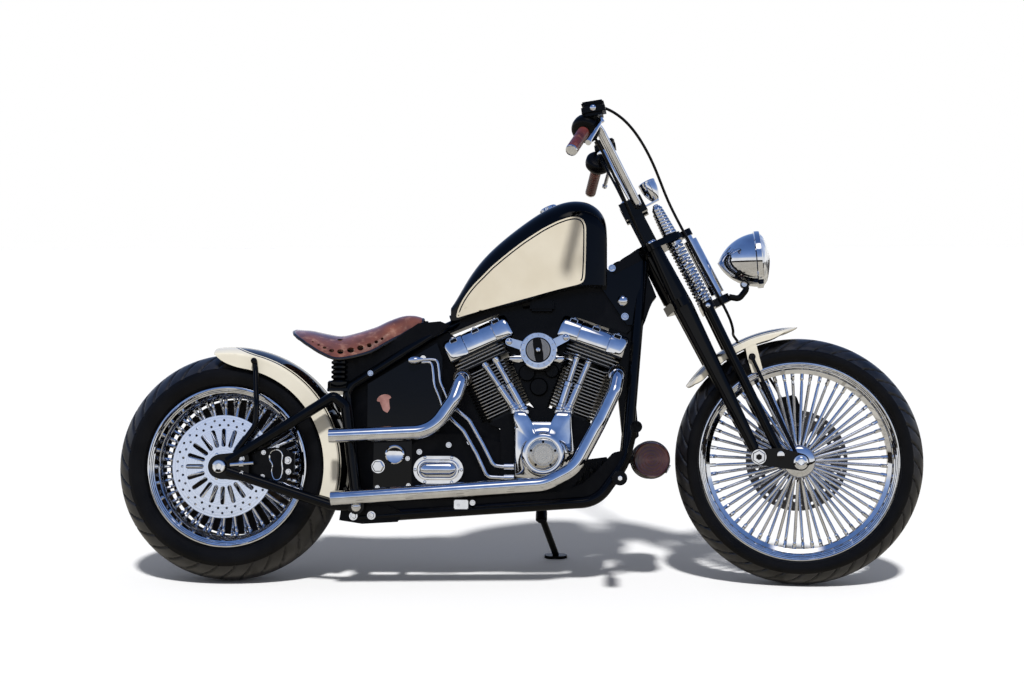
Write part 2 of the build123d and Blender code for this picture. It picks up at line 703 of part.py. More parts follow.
with BuildPart() as cylinders:
    for x, z, lean_back, _ in CYLINDERS:
        head = cylinder_plane(x, z, lean_back)
        with BuildSketch(head.offset(BARREL_BASE)) as barrel:
            Circle(BARREL_R)
        extrude(barrel.sketch, amount=HEAD_LOW - BARREL_BASE)
        with BuildSketch(head.offset(BARREL_BASE)) as foot:
            RectangleRounded(118, 118, 16)
        extrude(foot.sketch, amount=8)
        fin_planes = [head.offset(BARREL_FIN_FROM + i * FIN_PITCH) for i in range(BARREL_FINS)]
        with BuildSketch(*fin_planes) as fins:
            RectangleRounded(2 * FIN_Y, 2 * FIN_Y, 26)
        extrude(fins.sketch, amount=FIN_THICK)
        with BuildSketch(head.offset(HEAD_LOW)) as core:
            with Locations((0, head_mid_y)):
                RectangleRounded(130, head_width - 26, 12)
        extrude(core.sketch, amount=-HEAD_LOW + 3)
        head_planes = [head.offset(-i * HEAD_PITCH - 2) for i in range(HEAD_FINS)]
        with BuildSketch(*head_planes) as head_fins:
            with Locations((0, head_mid_y)):
                RectangleRounded(160, head_width, 14)
        extrude(head_fins.sketch, amount=5)
cylinders.part.label = "cylinders"

with BuildPart() as rocker_boxes:
    for x, z, lean_back, forward in CYLINDERS:
        head = cylinder_plane(x, z, lean_back)
        with BuildSketch(head.offset(3 + FIT / 3)) as box_foot:
            with Locations((forward, head_mid_y)):
                RectangleRounded(ROCKER_LENGTH, head_width - 4, 16)
        extrude(box_foot.sketch, amount=ROCKER_HEIGHT)
        lid = rocker_boxes.faces(Select.LAST).filter_by(head).sort_by(Axis(head.origin, head.z_dir))[-1]
        fillet(lid.edges(), 10)
rocker_boxes.part.label = "rocker_boxes"

with BuildPart() as cam_cover:
    side_plate(
        [
            (828, 300), (828, 448), (822, 470), (826, 489), (866, 489), (872, 462),
            (940, 462), (944, 489), (992, 487), (994, 446), (1000, 372), (974, 322),
            (930, 296), (880, 292),
        ],
        CAM_FACE_Y, -ENGINE_Y - FIT / 3,
    )
    with BuildSketch(Plane.XZ.offset(-CAM_FACE_Y)) as nose:
        with Locations((911, 365)):
            Circle(72)
    extrude(nose.sketch, amount=16, taper=20)
    disc_at(911, 365, 45, CAM_FACE_Y - 22, CAM_FACE_Y - 16)
cam_cover.part.label = "cam_cover"

# Lower and upper ends of the pushrod tubes; the upper one is forward along its head.
PUSHRODS = (
    # cylinder, lower x, lower z, forward along the head
    (0, 832, 490, 2), (0, 856, 490, 36), (1, 956, 490, -40), (1, 980, 488, -4),
)
with BuildPart() as pushrod_tubes:
    for which, low_x, low_z, forward in PUSHRODS:
        x, z, lean_back, _ = CYLINDERS[which]
        head = cylinder_plane(x, z, lean_back)
        top = head.from_local_coords(Vector(forward, PUSHROD_Y, HEAD_LOW - FIT / 3))
        low = Vector(low_x, PUSHROD_Y, low_z)
        rod(low, top, PUSHROD_R)
        rod(low, low + (top - low) * 0.45, PUSHROD_R + 3)
    add(cylinders.part, mode=Mode.SUBTRACT)
    add(cam_cover.part, mode=Mode.SUBTRACT)
pushrod_tubes.part.label = "pushrod_tubes"

AIR_AT = (897.0, 658.0)
AIR_FACE_Y = -118.0
with BuildPart() as air_cleaner:
    disc_at(*AIR_AT, 49, AIR_FACE_Y - 34, AIR_FACE_Y)
    disc_at(*AIR_AT, 38, AIR_FACE_Y - 40, AIR_FACE_Y - 34)
    # throttle body and manifold between the heads
    disc_at(AIR_AT[0] - 2, 640, 30, AIR_FACE_Y, 24)
    rod((810, -20, 642), (982, -20, 642), 20)
    for x, z in ((814, 684), (974, 696)):
        with BuildSketch(Plane.XZ.offset(-AIR_FACE_Y)) as arm:
            with Locations((x, z)):
                Circle(11)
            with Locations(AIR_AT):
                Circle(14)
            make_hull()
        extrude(arm.sketch, amount=8)
        disc_at(x, z, 9, AIR_FACE_Y, HEAD_Y[0] - FIT)
    add(rocker_boxes.part, mode=Mode.SUBTRACT)
    add(cylinders.part, mode=Mode.SUBTRACT)
air_cleaner.part.label = "air_cleaner"

CLUTCH = (640.0, 330.0)
FRONT_PULLEY_R = 50.0
BELT_THICK = 4.0
with BuildPart() as gearbox:
    side_plate(
        [(534, 248), (534, 392), (586, 424), (700, 424), (786 - FIT / 3, 400),
         (786 - FIT / 3, 258)],
        -80, 80,
    )
    disc_at(*CLUTCH, 18, 80, PRIMARY_INNER_Y - FIT / 3)
    disc_at(*CLUTCH, FRONT_PULLEY_R, PULLEY_Y, PULLEY_Y + PULLEY_WIDTH)
    add(frame.part, mode=Mode.SUBTRACT)
gearbox.part.label = "gearbox"

with BuildPart() as gearbox_cover:
    with BuildSketch(Plane.XZ.offset(80 + FIT / 3)) as cover_base:
        with Locations((614, 321)):
            SlotOverall(141, 78)
    extrude(cover_base.sketch, amount=36)
    with BuildSketch(Plane.XZ.offset(116)) as cover_lid:
        with Locations((614, 321)):
            SlotOverall(122, 60)
    extrude(cover_lid.sketch, amount=12)
gearbox_cover.part.label = "gearbox_cover"

with BuildPart() as drive_belt:
    loop = (
        ((0, REAR_TYRE_R), PULLEY_R + FIT), (CLUTCH, FRONT_PULLEY_R + FIT),
    )
    with BuildSketch(Plane.XZ.offset(-PULLEY_Y - PULLEY_WIDTH)) as belt_outside:
        for centre, radius in loop:
            with Locations(centre):
                Circle(radius + BELT_THICK)
        make_hull()
    extrude(belt_outside.sketch, amount=PULLEY_WIDTH)
    with BuildSketch(Plane.XZ.offset(-PULLEY_Y - PULLEY_WIDTH)) as belt_inside:
        for centre, radius in loop:
            with Locations(centre):
                Circle(radius)
        make_hull()
    extrude(belt_inside.sketch, amount=PULLEY_WIDTH, mode=Mode.SUBTRACT)
drive_belt.part.label = "drive_belt"

CLUTCH_COVER_R = 105.0
with BuildPart() as primary_cover:
    with BuildSketch(Plane.XZ.offset(-PRIMARY_OUTER_Y)) as primary_outline:
        with Locations(CLUTCH):
            Circle(CLUTCH_COVER_R)
        with Locations(CRANK):
            Circle(86)
        make_hull()
    extrude(primary_outline.sketch, amount=PRIMARY_OUTER_Y - PRIMARY_INNER_Y)
    fillet(primary_cover.faces().sort_by(Axis.Y)[-1].edges(), 12)
    disc_at(*CLUTCH, 74, PRIMARY_OUTER_Y, PRIMARY_OUTER_Y + 6)
    disc_at(*CRANK, 34, PRIMARY_OUTER_Y, PRIMARY_OUTER_Y + 5)
primary_cover.part.label = "primary_cover"

with BuildPart() as oil_tank:
    side_plate([(406, 442), (406, 566), (604, 684), (620, 640), (620, 442)], -84, 84)
    # battery box under the tank
    side_plate([(424, 250), (424, 446), (534 - FIT, 446), (534 - FIT, 250)], -76, 76)
    disc_at(425 + 14, 330, 13, -84, -76)
    disc_at(490, 366, 26, -90, -76)
oil_tank.part.label = "oil_tank"

# Routes of the two exhaust pipes on the right side.
PIPES = (
    [(678, -50, 588), (680, -128, 578), (662, -156, 520), (600, -178, 427), (313, -186, 414)],
    [
        (1098, -50, 602), (1122, -116, 592), (1112, -142, 545), (1065, -166, 447),
        (1001, -180, 327), (918, -188, 283), (322, -190, 241),
    ],
)
PIPE_BENDS = ([34, 48, 95], [34, 34, 200, 100, 110])
with BuildPart() as exhaust_pipes:
    for route, bends in zip(PIPES, PIPE_BENDS):
        sweep_tube(route, bends, PIPE_R)
    for route in PIPES:
        end, before = Vector(*route[-1]), Vector(*route[-2])
        inward = (before - end).normalized() * 60
        rod(end, end + inward, PIPE_R - PIPE_WALL, Mode.SUBTRACT)
    add(cylinders.part, mode=Mode.SUBTRACT)
exhaust_pipes.part.label = "exhaust_pipes"

with BuildPart() as oil_lines:
    for route in (
        [(640, -96, 512), (700, -104, 462), (738, -106, 396), (770, -106, 334), (800, -106, 331)],
        [(622, -96, 490), (684, -104, 432), (722, -106, 366), (752, -106, 302), (800, -106, 300)],
    ):
        sweep_tube(route, [30, 60, 22], 6)
    for z in (331, 300):
        rod((800, -106, z), (828 - FIT / 3, -106, z), 10)
oil_lines.part.label = "oil_lines"

# ---------------------------------------------------------------- controls, roll and stand
PEG_AT = (1122.0, 300.0)
with BuildPart() as foot_controls:
    rod((1112, -100, 300), (PEG_AT[0], -196, 300), 11)
    rod((PEG_AT[0], -190, 300), (PEG_AT[0], -305, 300), 17)
    sweep_tube([(1120, -150, 300), (1150, -168, 360), (1169, -188, 441)], [60], 7)
    disc_at(1169, 441, 14.5, -224, -180)
    add(frame.part, mode=Mode.SUBTRACT)
    mirror(about=Plane.XZ)
foot_controls.part.label = "foot_controls"

ROLL_AT = (1216.0, 352.0)
ROLL_R = 52.0
with BuildPart() as tool_roll:
    disc_at(*ROLL_AT, ROLL_R, -112, 112)
    for y in (-74, 62):
        disc_at(*ROLL_AT, ROLL_R + 3, y, y + 16)
    for side in (1, -1):
        rod((1140, side * 86, 352), (1180, side * 86, 352), 9)
    add(frame.part, mode=Mode.SUBTRACT)
tool_roll.part.label = "tool_roll"

with BuildPart() as side_stand:
    rod(STAND_PIVOT, stand_foot, STAND_TUBE_R)
    with BuildSketch(ground) as pad:
        SlotOverall(70, 44)
    extrude(pad.sketch, amount=9)
    rod(
        stand_at - stand_axis * STAND_EYE_HALF, stand_at + stand_axis * STAND_EYE_HALF,
        STAND_EYE_R,
    )
    rod(
        stand_at - stand_axis * STAND_EYE_HALF, stand_at + stand_axis * STAND_EYE_HALF,
        STAND_PIN_R + FIT, Mode.SUBTRACT,
    )
side_stand.part.label = "side_stand"

# ---------------------------------------------------------------- springer fork
# Drawn about the steering axis: X forward of it, Y to the left, Z up along it.
LEG_FOOT = (9.0, 405.0)
LEG_HEAD = (20.0, 1062.0)
CROWN_LOW_S = 880.0
CROWN_HIGH_S = 906.0
TOP_CROWN_S = LEG_HEAD[1]
TOP_CROWN_THICK = 20.0
SPRING_AT = (80.0, 48.0)
SPRING_ROD_R = 6.0
SPRING_R = 22.0
SHROUD_R = 21.0
SHROUD_TOP_S = 1176.0
SPRING_LEG_FOOT = (66.0, 383.0)
SPRING_LEG_HEAD = (79.0, 838.0)
SPRING_LEG_R = 14.0
SPRING_LEG_Y = 85.0
YOKE_S = SPRING_LEG_HEAD[1]
YOKE_THICK = 24.0
DAMPER_N = 125.0
DAMPER_R = 20.0
ROCKER_FACE_Y = 100.3
ROCKER_THICK = 11.7
RISER_Y = 44.0
BAR_AT = (36.0, 1204.0)
AXLE_N = front_axle_n
AXLE_S = front_axle_s


def side_disc(n, s, radius, y_from, y_to, mode=Mode.ADD):
    """Round boss across the fork, between two distances to the left."""
    disc_at(n, s, radius, y_from, y_to, mode)


def flat_hull(circles, s_from, s_to, mode=Mode.ADD):
    """Plate across the steering axis round a few (n, y, radius) circles."""
    with BuildSketch(Plane.XY.offset(s_from)) as outline:
        for n, y, radius in circles:
            with Locations((n, y)):
                Circle(radius)
        make_hull()
    extrude(outline.sketch, amount=s_to - s_from, mode=mode)


def side_hull(circles, y_from, y_to, mode=Mode.ADD):
    """Plate along the fork round a few (n, s, radius) circles."""
    with BuildSketch(Plane.XZ.offset(-y_to)) as outline:
        for n, s, radius in circles:
            with Locations((n, s)):
                Circle(radius)
        make_hull()
    extrude(outline.sketch, amount=y_to - y_from, mode=mode)


leg_tilt = (LEG_HEAD[0] - LEG_FOOT[0]) / (LEG_HEAD[1] - LEG_FOOT[1])
# Sections of a fork leg: height along the axis, width fore and aft, width across.
LEG_SECTIONS = (
    (430.0, 30.0, 24.0), (CROWN_LOW_S, 56.0, 34.0), (LEG_HEAD[1] - FIT / 3, 40.0, 34.0),
)
with BuildPart() as fork_legs:
    for (low_s, low_w, low_d), (high_s, high_w, high_d) in zip(LEG_SECTIONS, LEG_SECTIONS[1:]):
        for leg_s, width, depth in ((low_s, low_w, low_d), (high_s, high_w, high_d)):
            with BuildSketch(Plane.XY.offset(leg_s)):
                with Locations((LEG_FOOT[0] + (leg_s - LEG_FOOT[1]) * leg_tilt, FORK_LEG_Y)):
                    SlotOverall(width, depth)
        loft()
    side_disc(*LEG_FOOT, 15, 76, ROCKER_FACE_Y - FIT)
    rod((LEG_FOOT[0], FORK_LEG_Y, LEG_FOOT[1]), (LEG_FOOT[0] + 0.5, FORK_LEG_Y, 440), 11)
    mirror(about=Plane.XZ)
    flat_hull(
        [(17, FORK_LEG_Y, 27), (17, -FORK_LEG_Y, 27), (0, 0, 36)], CROWN_LOW_S, CROWN_HIGH_S
    )
    rod((0, 0, CROWN_LOW_S), (0, 0, TOP_CROWN_S - FIT / 3), STEM_R)
    rod((0, 0, CROWN_HIGH_S), (0, 0, HEAD_LOW_S - FIT), 27)
fork_legs.part.label = "fork_legs"

with BuildPart() as top_clamp:
    crown_top = TOP_CROWN_S + TOP_CROWN_THICK
    flat_hull(
        [
            (20, FORK_LEG_Y, 27), (20, -FORK_LEG_Y, 27), (SPRING_AT[0], SPRING_AT[1], 27),
            (SPRING_AT[0], -SPRING_AT[1], 27), (0, 0, 34),
        ],
        TOP_CROWN_S, crown_top,
    )
    flat_hull([(DAMPER_N, 0, 16), (90, 0, 16)], TOP_CROWN_S, crown_top)
    rod((0, 0, HEAD_HIGH_S + FIT), (0, 0, TOP_CROWN_S), 27)
    rod((0, 0, HEAD_HIGH_S), (0, 0, TOP_CROWN_S - 0.01), STEM_R + FIT / 3, Mode.SUBTRACT)
    rod((0, 0, crown_top), (0, 0, crown_top + 14), 20)
    for side in (1, -1):
        with Locations((16, side * RISER_Y, (crown_top + 1180) / 2)):
            Box(44, 26, 1180 - crown_top)
        with Locations((21, side * RISER_Y, 1205)):
            Box(70, 30, 50)
        rod(
            (SPRING_AT[0], side * SPRING_AT[1], TOP_CROWN_S),
            (SPRING_AT[0], side * SPRING_AT[1], crown_top), SPRING_ROD_R + FIT, Mode.SUBTRACT,
        )
    side_disc(*BAR_AT, HANDLEBAR_R + FIT / 3, -80, 80, Mode.SUBTRACT)
top_clamp.part.label = "top_clamp"

with BuildPart() as spring_legs:
    rod(
        (SPRING_LEG_FOOT[0], SPRING_LEG_Y, SPRING_LEG_FOOT[1]),
        (SPRING_LEG_HEAD[0], SPRING_LEG_Y, SPRING_LEG_HEAD[1] + 4), SPRING_LEG_R,
    )
    side_disc(*SPRING_LEG_FOOT, 16, 70, ROCKER_FACE_Y - FIT)
    rod((*SPRING_AT, YOKE_S), (*SPRING_AT, SHROUD_TOP_S), SPRING_ROD_R)
    mirror(about=Plane.XZ)
    flat_hull(
        [(SPRING_LEG_HEAD[0], SPRING_LEG_Y, 20), (SPRING_LEG_HEAD[0], -SPRING_LEG_Y, 20)],
        YOKE_S, YOKE_S + YOKE_THICK,
    )
    flat_hull([(DAMPER_N + 4, 0, 22), (90, 0, 22)], YOKE_S, YOKE_S + YOKE_THICK)
spring_legs.part.label = "spring_legs"

fork_coil = make_coil(
    SPRING_ROD_R + 3, SPRING_R, YOKE_S + YOKE_THICK + FIT / 3, TOP_CROWN_S - FIT / 3, 14
)
with BuildPart() as fork_springs:
    with Locations((*SPRING_AT, 0), (SPRING_AT[0], -SPRING_AT[1], 0)):
        add(fork_coil)
fork_springs.part.label = "fork_springs"

with BuildPart() as shroud:
    rib_top = SHROUD_TOP_S - 4
    ribs = [
        (SHROUD_R - (2 if i % 2 else 0), rib_top - 30 + i * 3.0) for i in range(11)
    ]
    revolve_section(
        [
            (SPRING_ROD_R + FIT, crown_top + FIT / 3), (SHROUD_R, crown_top + FIT / 3), *ribs,
            (12, SHROUD_TOP_S), (SPRING_ROD_R + FIT, SHROUD_TOP_S),
        ]
    )
with BuildPart() as spring_shrouds:
    with Locations((*SPRING_AT, 0), (SPRING_AT[0], -SPRING_AT[1], 0)):
        add(shroud.part)
spring_shrouds.part.label = "spring_shrouds"

with BuildPart() as fork_damper:
    rod((DAMPER_N, 0, 874), (DAMPER_N, 0, 1048), DAMPER_R)
    rod(
        (DAMPER_N, 0, YOKE_S + YOKE_THICK + FIT / 3), (DAMPER_N, 0, TOP_CROWN_S - FIT / 3), 11
    )
fork_damper.part.label = "fork_damper"

with BuildPart() as rockers:
    rocker_out = ROCKER_FACE_Y + ROCKER_THICK
    side_hull(
        [(*LEG_FOOT, 22), (*SPRING_LEG_FOOT, 19), (AXLE_N, AXLE_S, 24)],
        ROCKER_FACE_Y, rocker_out,
    )
    side_disc(AXLE_N, AXLE_S, FRONT_AXLE_R + FIT / 3, ROCKER_FACE_Y, rocker_out, Mode.SUBTRACT)
    with BuildSketch(Plane.XZ.offset(-rocker_out - 12)) as pivot_nut:
        with Locations(LEG_FOOT):
            RegularPolygon(19, 6)
    extrude(pivot_nut.sketch, amount=12)
    side_disc(*SPRING_LEG_FOOT, 11, rocker_out, rocker_out + 6)
    mirror(about=Plane.XZ)
rockers.part.label = "rockers"

CALIPER_OUT = 84.0
STAY_IN = 90.5
STAY_Y = 95.2
with BuildPart() as front_axle:
    side_disc(AXLE_N, AXLE_S, FRONT_AXLE_R, -rocker_out - 16, rocker_out + 16)
    for side_from, side_to in (
        (-rocker_out - 10, -rocker_out - FIT / 3), (rocker_out + FIT / 3, rocker_out + 10),
    ):
        side_disc(AXLE_N, AXLE_S, 16.5, side_from, side_to)
    side_disc(AXLE_N, AXLE_S, 16, -STAY_IN + FIT / 3, FRONT_HUB_RIGHT - END_GAP)
    side_disc(AXLE_N, AXLE_S, 16, FRONT_HUB_LEFT + END_GAP, STAY_IN - FIT / 3)
    for face in (-rocker_out - 16, rocker_out + 16 - AXLE_BORE_DEPTH):
        side_disc(AXLE_N, AXLE_S, AXLE_BORE_R, face, face + AXLE_BORE_DEPTH, Mode.SUBTRACT)
front_axle.part.label = "front_axle"

FRONT_FENDER_R = FRONT_TYRE_R + 34
FRONT_FENDER_HALF = 68.0
FRONT_FENDER_DEPTH = 30.0
front_fender_shell = make_fender(
    FRONT_FENDER_R, FRONT_FENDER_HALF, FRONT_FENDER_DEPTH, 16, -119.0, -63.0
)
wheel_centre = Location((AXLE_N, 0, AXLE_S)) * wheel_turn
with BuildPart() as front_fender:
    add(front_fender_shell.part.moved(wheel_centre))
    for side in (1, -1):
        tab_in, tab_out = FRONT_FENDER_HALF - FENDER_WALL, FRONT_FENDER_HALF
        tab = sorted((side * tab_in, side * tab_out))
        side_hull([(124, 664, 14), (112, 704, 22), (146, 700, 22)], *tab)
        rod(
            (AXLE_N + 1, side * STAY_Y, AXLE_S + 16), (124, side * (tab_out + 4), 664), 4.5,
        )
        rod((124, side * (tab_in + 1), 664), (124, side * (tab_out + 7), 664), 8)
        eye = sorted((side * STAY_IN, side * (ROCKER_FACE_Y - FIT)))
        side_disc(AXLE_N, AXLE_S, 20, *eye)
        side_disc(AXLE_N, AXLE_S, FRONT_AXLE_R + FIT / 3, *eye, Mode.SUBTRACT)
front_fender.part.label = "front_fender"

FRONT_CALIPER = (152.0, 480.0)
with BuildPart() as front_caliper:
    side_hull(
        [
            (FRONT_CALIPER[0] - 18, FRONT_CALIPER[1] - 26, 14),
            (FRONT_CALIPER[0] + 16, FRONT_CALIPER[1] - 32, 14),
            (FRONT_CALIPER[0] - 6, FRONT_CALIPER[1] + 30, 14),
            (FRONT_CALIPER[0] + 24, FRONT_CALIPER[1] + 22, 14),
        ],
        FRONT_DISC_Y - 17, CALIPER_OUT,
    )
    side_hull(
        [(AXLE_N, AXLE_S, 28), (FRONT_CALIPER[0] - 4, FRONT_CALIPER[1] - 16, 24)],
        FRONT_DISC_Y + DISC_THICK + RUNNING_GAP, CALIPER_OUT,
    )
    side_disc(AXLE_N, AXLE_S, 16 + FIT / 3, 50, 100, Mode.SUBTRACT)
    side_disc(
        AXLE_N, AXLE_S, DISC_R + RUNNING_GAP, FRONT_DISC_Y - RUNNING_GAP,
        FRONT_DISC_Y + DISC_THICK + RUNNING_GAP, Mode.SUBTRACT,
    )
front_caliper.part.label = "front_caliper"

# ---------------------------------------------------------------- lamp, bars and controls
LAMP_AT = (275.5, 906.5)
LAMP_DROP = 22.0
LAMP_R = 82.0
lamp_plane = Plane(
    origin=(LAMP_AT[0], 0, LAMP_AT[1]), x_dir=(0, 1, 0),
    z_dir=(cos(radians(LAMP_DROP)), 0, -sin(radians(LAMP_DROP))),
)
with BuildPart() as headlamp_shape:
    with BuildSketch(Plane.XZ) as bucket:
        with BuildLine():
            ThreePointArc((0, -120), (50, -82), (LAMP_R - 4, -10))
            Polyline((LAMP_R - 4, -10), (LAMP_R, -8), (LAMP_R, 4), (LAMP_R - 6, 8), (LAMP_R - 6, 0),
                     (0, 0), (0, -120))
        make_face()
    revolve(bucket.sketch, axis=Axis.Z)
with BuildPart() as headlamp:
    add(headlamp_shape.part.moved(lamp_plane.location))
headlamp.part.label = "headlamp"

with BuildPart() as lens_shape:
    with BuildSketch(Plane.XZ) as glass:
        with BuildLine():
            Line((0, FIT / 3), (LAMP_R - 6 - FIT / 3, FIT / 3))
            Line((LAMP_R - 6 - FIT / 3, FIT / 3), (LAMP_R - 6 - FIT / 3, 6))
            Spline(
                (LAMP_R - 6 - FIT / 3, 6), (LAMP_R * 0.5, 24), (0, 30),
                tangents=((-0.5, 0.87), (-1, 0)),
            )
            Line((0, 30), (0, FIT / 3))
        make_face()
    revolve(glass.sketch, axis=Axis.Z)
with BuildPart() as headlamp_lens:
    add(lens_shape.part.moved(lamp_plane.location))
headlamp_lens.part.label = "headlamp_lens"

with BuildPart() as headlamp_bracket:
    sweep_tube(
        [
            (DAMPER_N + 24, 0, 850), (172, 0, 832), (204, 0, 846), (212, 0, 884),
        ],
        [16, 18], 9,
    )
    rod((204, -15, 862), (204, 15, 862), 11)
    add(headlamp.part, mode=Mode.SUBTRACT)
    add(spring_legs.part, mode=Mode.SUBTRACT)
headlamp_bracket.part.label = "headlamp_bracket"

BAR_CORNER = Vector(34, -222, 1458)
BAR_END = Vector(-66, -392, 1371)
BAR_BEND = (BAR_AT[0], -73, BAR_AT[1])
GRIP_LENGTH = 122.0
along_grip = (BAR_CORNER - BAR_END).normalized()


def left_of(point):
    """The mirror image of a right-hand point."""
    return (point[0], -point[1], point[2])


right_bar = [tuple(BAR_END), tuple(BAR_CORNER), BAR_BEND]
with BuildPart() as handlebar:
    sweep_tube(
        right_bar + [left_of(point) for point in reversed(right_bar)], [60, 24, 24, 60],
        HANDLEBAR_R,
    )
handlebar.part.label = "handlebar"

with BuildPart() as grips:
    rod(BAR_END - along_grip * 3, BAR_END + along_grip * GRIP_LENGTH, GRIP_R)
    rod(BAR_END, BAR_END + along_grip * GRIP_LENGTH, HANDLEBAR_R + FIT / 3, Mode.SUBTRACT)
    mirror(about=Plane.XZ)
grips.part.label = "grips"

housing_from = BAR_END + along_grip * (GRIP_LENGTH + FIT)
with BuildPart() as hand_controls:
    rod(housing_from, housing_from + along_grip * 34, 36)
    box_centre = housing_from + along_grip * 17 + Vector(46, -4, 34)
    with BuildSketch(Plane(origin=box_centre, x_dir=(0, -1, 0), z_dir=(0.35, 0, 1))) as tank_box:
        RectangleRounded(66, 48, 8)
    extrude(tank_box.sketch, amount=34, both=False)
    rod(box_centre + Vector(2, 0, 2), housing_from + along_grip * 17, 13)
    rod(
        housing_from - along_grip * 2, housing_from + along_grip * 70, HANDLEBAR_R + FIT / 3,
        Mode.SUBTRACT,
    )
    add(handlebar.part, mode=Mode.SUBTRACT)
    mirror(about=Plane.XZ)
hand_controls.part.label = "hand_controls"

LEVER_OUT = Vector(44, 0, 6)
with BuildPart() as levers:
    lever_root = housing_from + along_grip * 20 + LEVER_OUT
    lever_tip = BAR_END + along_grip * 4 + LEVER_OUT + Vector(6, 0, -8)
    lever_knee = housing_from - along_grip * 20 + LEVER_OUT + Vector(14, 0, 0)
    sweep_tube([tuple(lever_root), tuple(lever_knee), tuple(lever_tip)], [60], 6)
    rod(lever_tip - along_grip * 4, lever_tip + along_grip * 4, 8)
    rod(lever_root - Vector(0, 0, 12), lever_root + Vector(0, 0, 12), 10)
    add(hand_controls.part, mode=Mode.SUBTRACT)
    mirror(about=Plane.XZ)
levers.part.label = "levers"

DIAL_AT = (90.0, 1200.0)
with BuildPart() as speedometer:
    with BuildSketch(Plane.XZ) as cup:
        with BuildLine():
            Polyline((DIAL_AT[0], DIAL_AT[1]), (DIAL_AT[0] + 10, DIAL_AT[1]))
            ThreePointArc(
                (DIAL_AT[0] + 10, DIAL_AT[1]), (DIAL_AT[0] + 21, DIAL_AT[1] + 22),
                (DIAL_AT[0] + 25, DIAL_AT[1] + 50),
            )
            Polyline(
                (DIAL_AT[0] + 25, DIAL_AT[1] + 50), (DIAL_AT[0] + 25, DIAL_AT[1] + 57),
                (DIAL_AT[0], DIAL_AT[1] + 57), DIAL_AT,
            )
        make_face()
    revolve(cup.sketch, axis=Axis((DIAL_AT[0], 0, DIAL_AT[1]), (0, 0, 1)))
    with Locations((70, 0, DIAL_AT[1] - 2)):
        Box(60, 16, 4)
    with Locations((46, 0, BAR_AT[1])):
        Box(22, 26, 38)
    add(handlebar.part, mode=Mode.SUBTRACT)
speedometer.part.label = "speedometer"

HOSE_R = 4.0
HOSE = (
    (62, -266, 1468), (100, -226, 1424), (124, -158, 1344), (126, -96, 1262), (119, -58, 1176),
    (118, -46, 1060), (119, -44, 946), (121, -42, 846), (120, -28, 788), (114, 10, 756),
    (112, 58, 744), (122, 84, 700), (141, 90, 634), (150, 84, 574), (150, 72, 516),
)
CABLE = (
    (10, -246, 1424), (12, -190, 1330), (8, -118, 1228), (4, -80, 1150), (4, -74, 1082.2),
)
with BuildPart() as cables:
    for points in (HOSE, CABLE, [left_of(point) for point in CABLE]):
        sweep_cord(points, HOSE_R)
    for carrier in (front_caliper, hand_controls, handlebar, top_clamp):
        add(carrier.part, mode=Mode.SUBTRACT)
cables.part.label = "cables"

# ---------------------------------------------------------------- placing and writing
frame_pieces = (
    frame, swingarm, rear_axle, rear_caliper, saddle, saddle_frame,
    fuel_tank, fuel_cap, crankcase, cylinders, rocker_boxes, pushrod_tubes,
    cam_cover, air_cleaner, gearbox, gearbox_cover, drive_belt, primary_cover,
    oil_tank, exhaust_pipes, oil_lines, foot_controls,
    tool_roll, side_stand,
)
fork_pieces = (
    fork_legs, top_clamp, spring_legs, fork_springs, spring_shrouds, fork_damper, rockers,
    front_axle, front_fender, front_caliper, headlamp, headlamp_lens, headlamp_bracket,
    handlebar, grips, hand_controls, levers, speedometer, cables,
)
placed = [(piece, bike_place) for piece in frame_pieces]
placed += [(piece, rear_wheel_place) for piece in (rear_fender,)]
placed += [(piece, fork_place) for piece in fork_pieces]
placed += [(piece, front_wheel_place) for piece in (front_tyre, front_rim, front_hub, front_disc)]
placed += [
    (piece, rear_wheel_place)
    for piece in (rear_tyre, rear_rim, rear_hub, rear_disc, rear_pulley)
]
standing = [piece.part.moved(place) for piece, place in placed]
extent = standing[0].bounding_box()
for shape in standing[1:]:
    extent = extent.add(shape.bounding_box())
# The origin goes to the middle of the footprint, on the ground.
middle = Location((-extent.center().X, -extent.center().Y, 0))
for (piece, _), shape in zip(placed, standing):
    whole = shape.moved(middle)
    whole.label = piece.part.label
    export_step(whole, f"parts/{piece.part.label}.step")
print("extent", extent.size, "origin shift", list(middle.position))
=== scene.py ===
import json
import math

import bmesh
import bpy
from mathutils import Matrix, Vector, noise
from mathutils.bvhtree import BVHTree


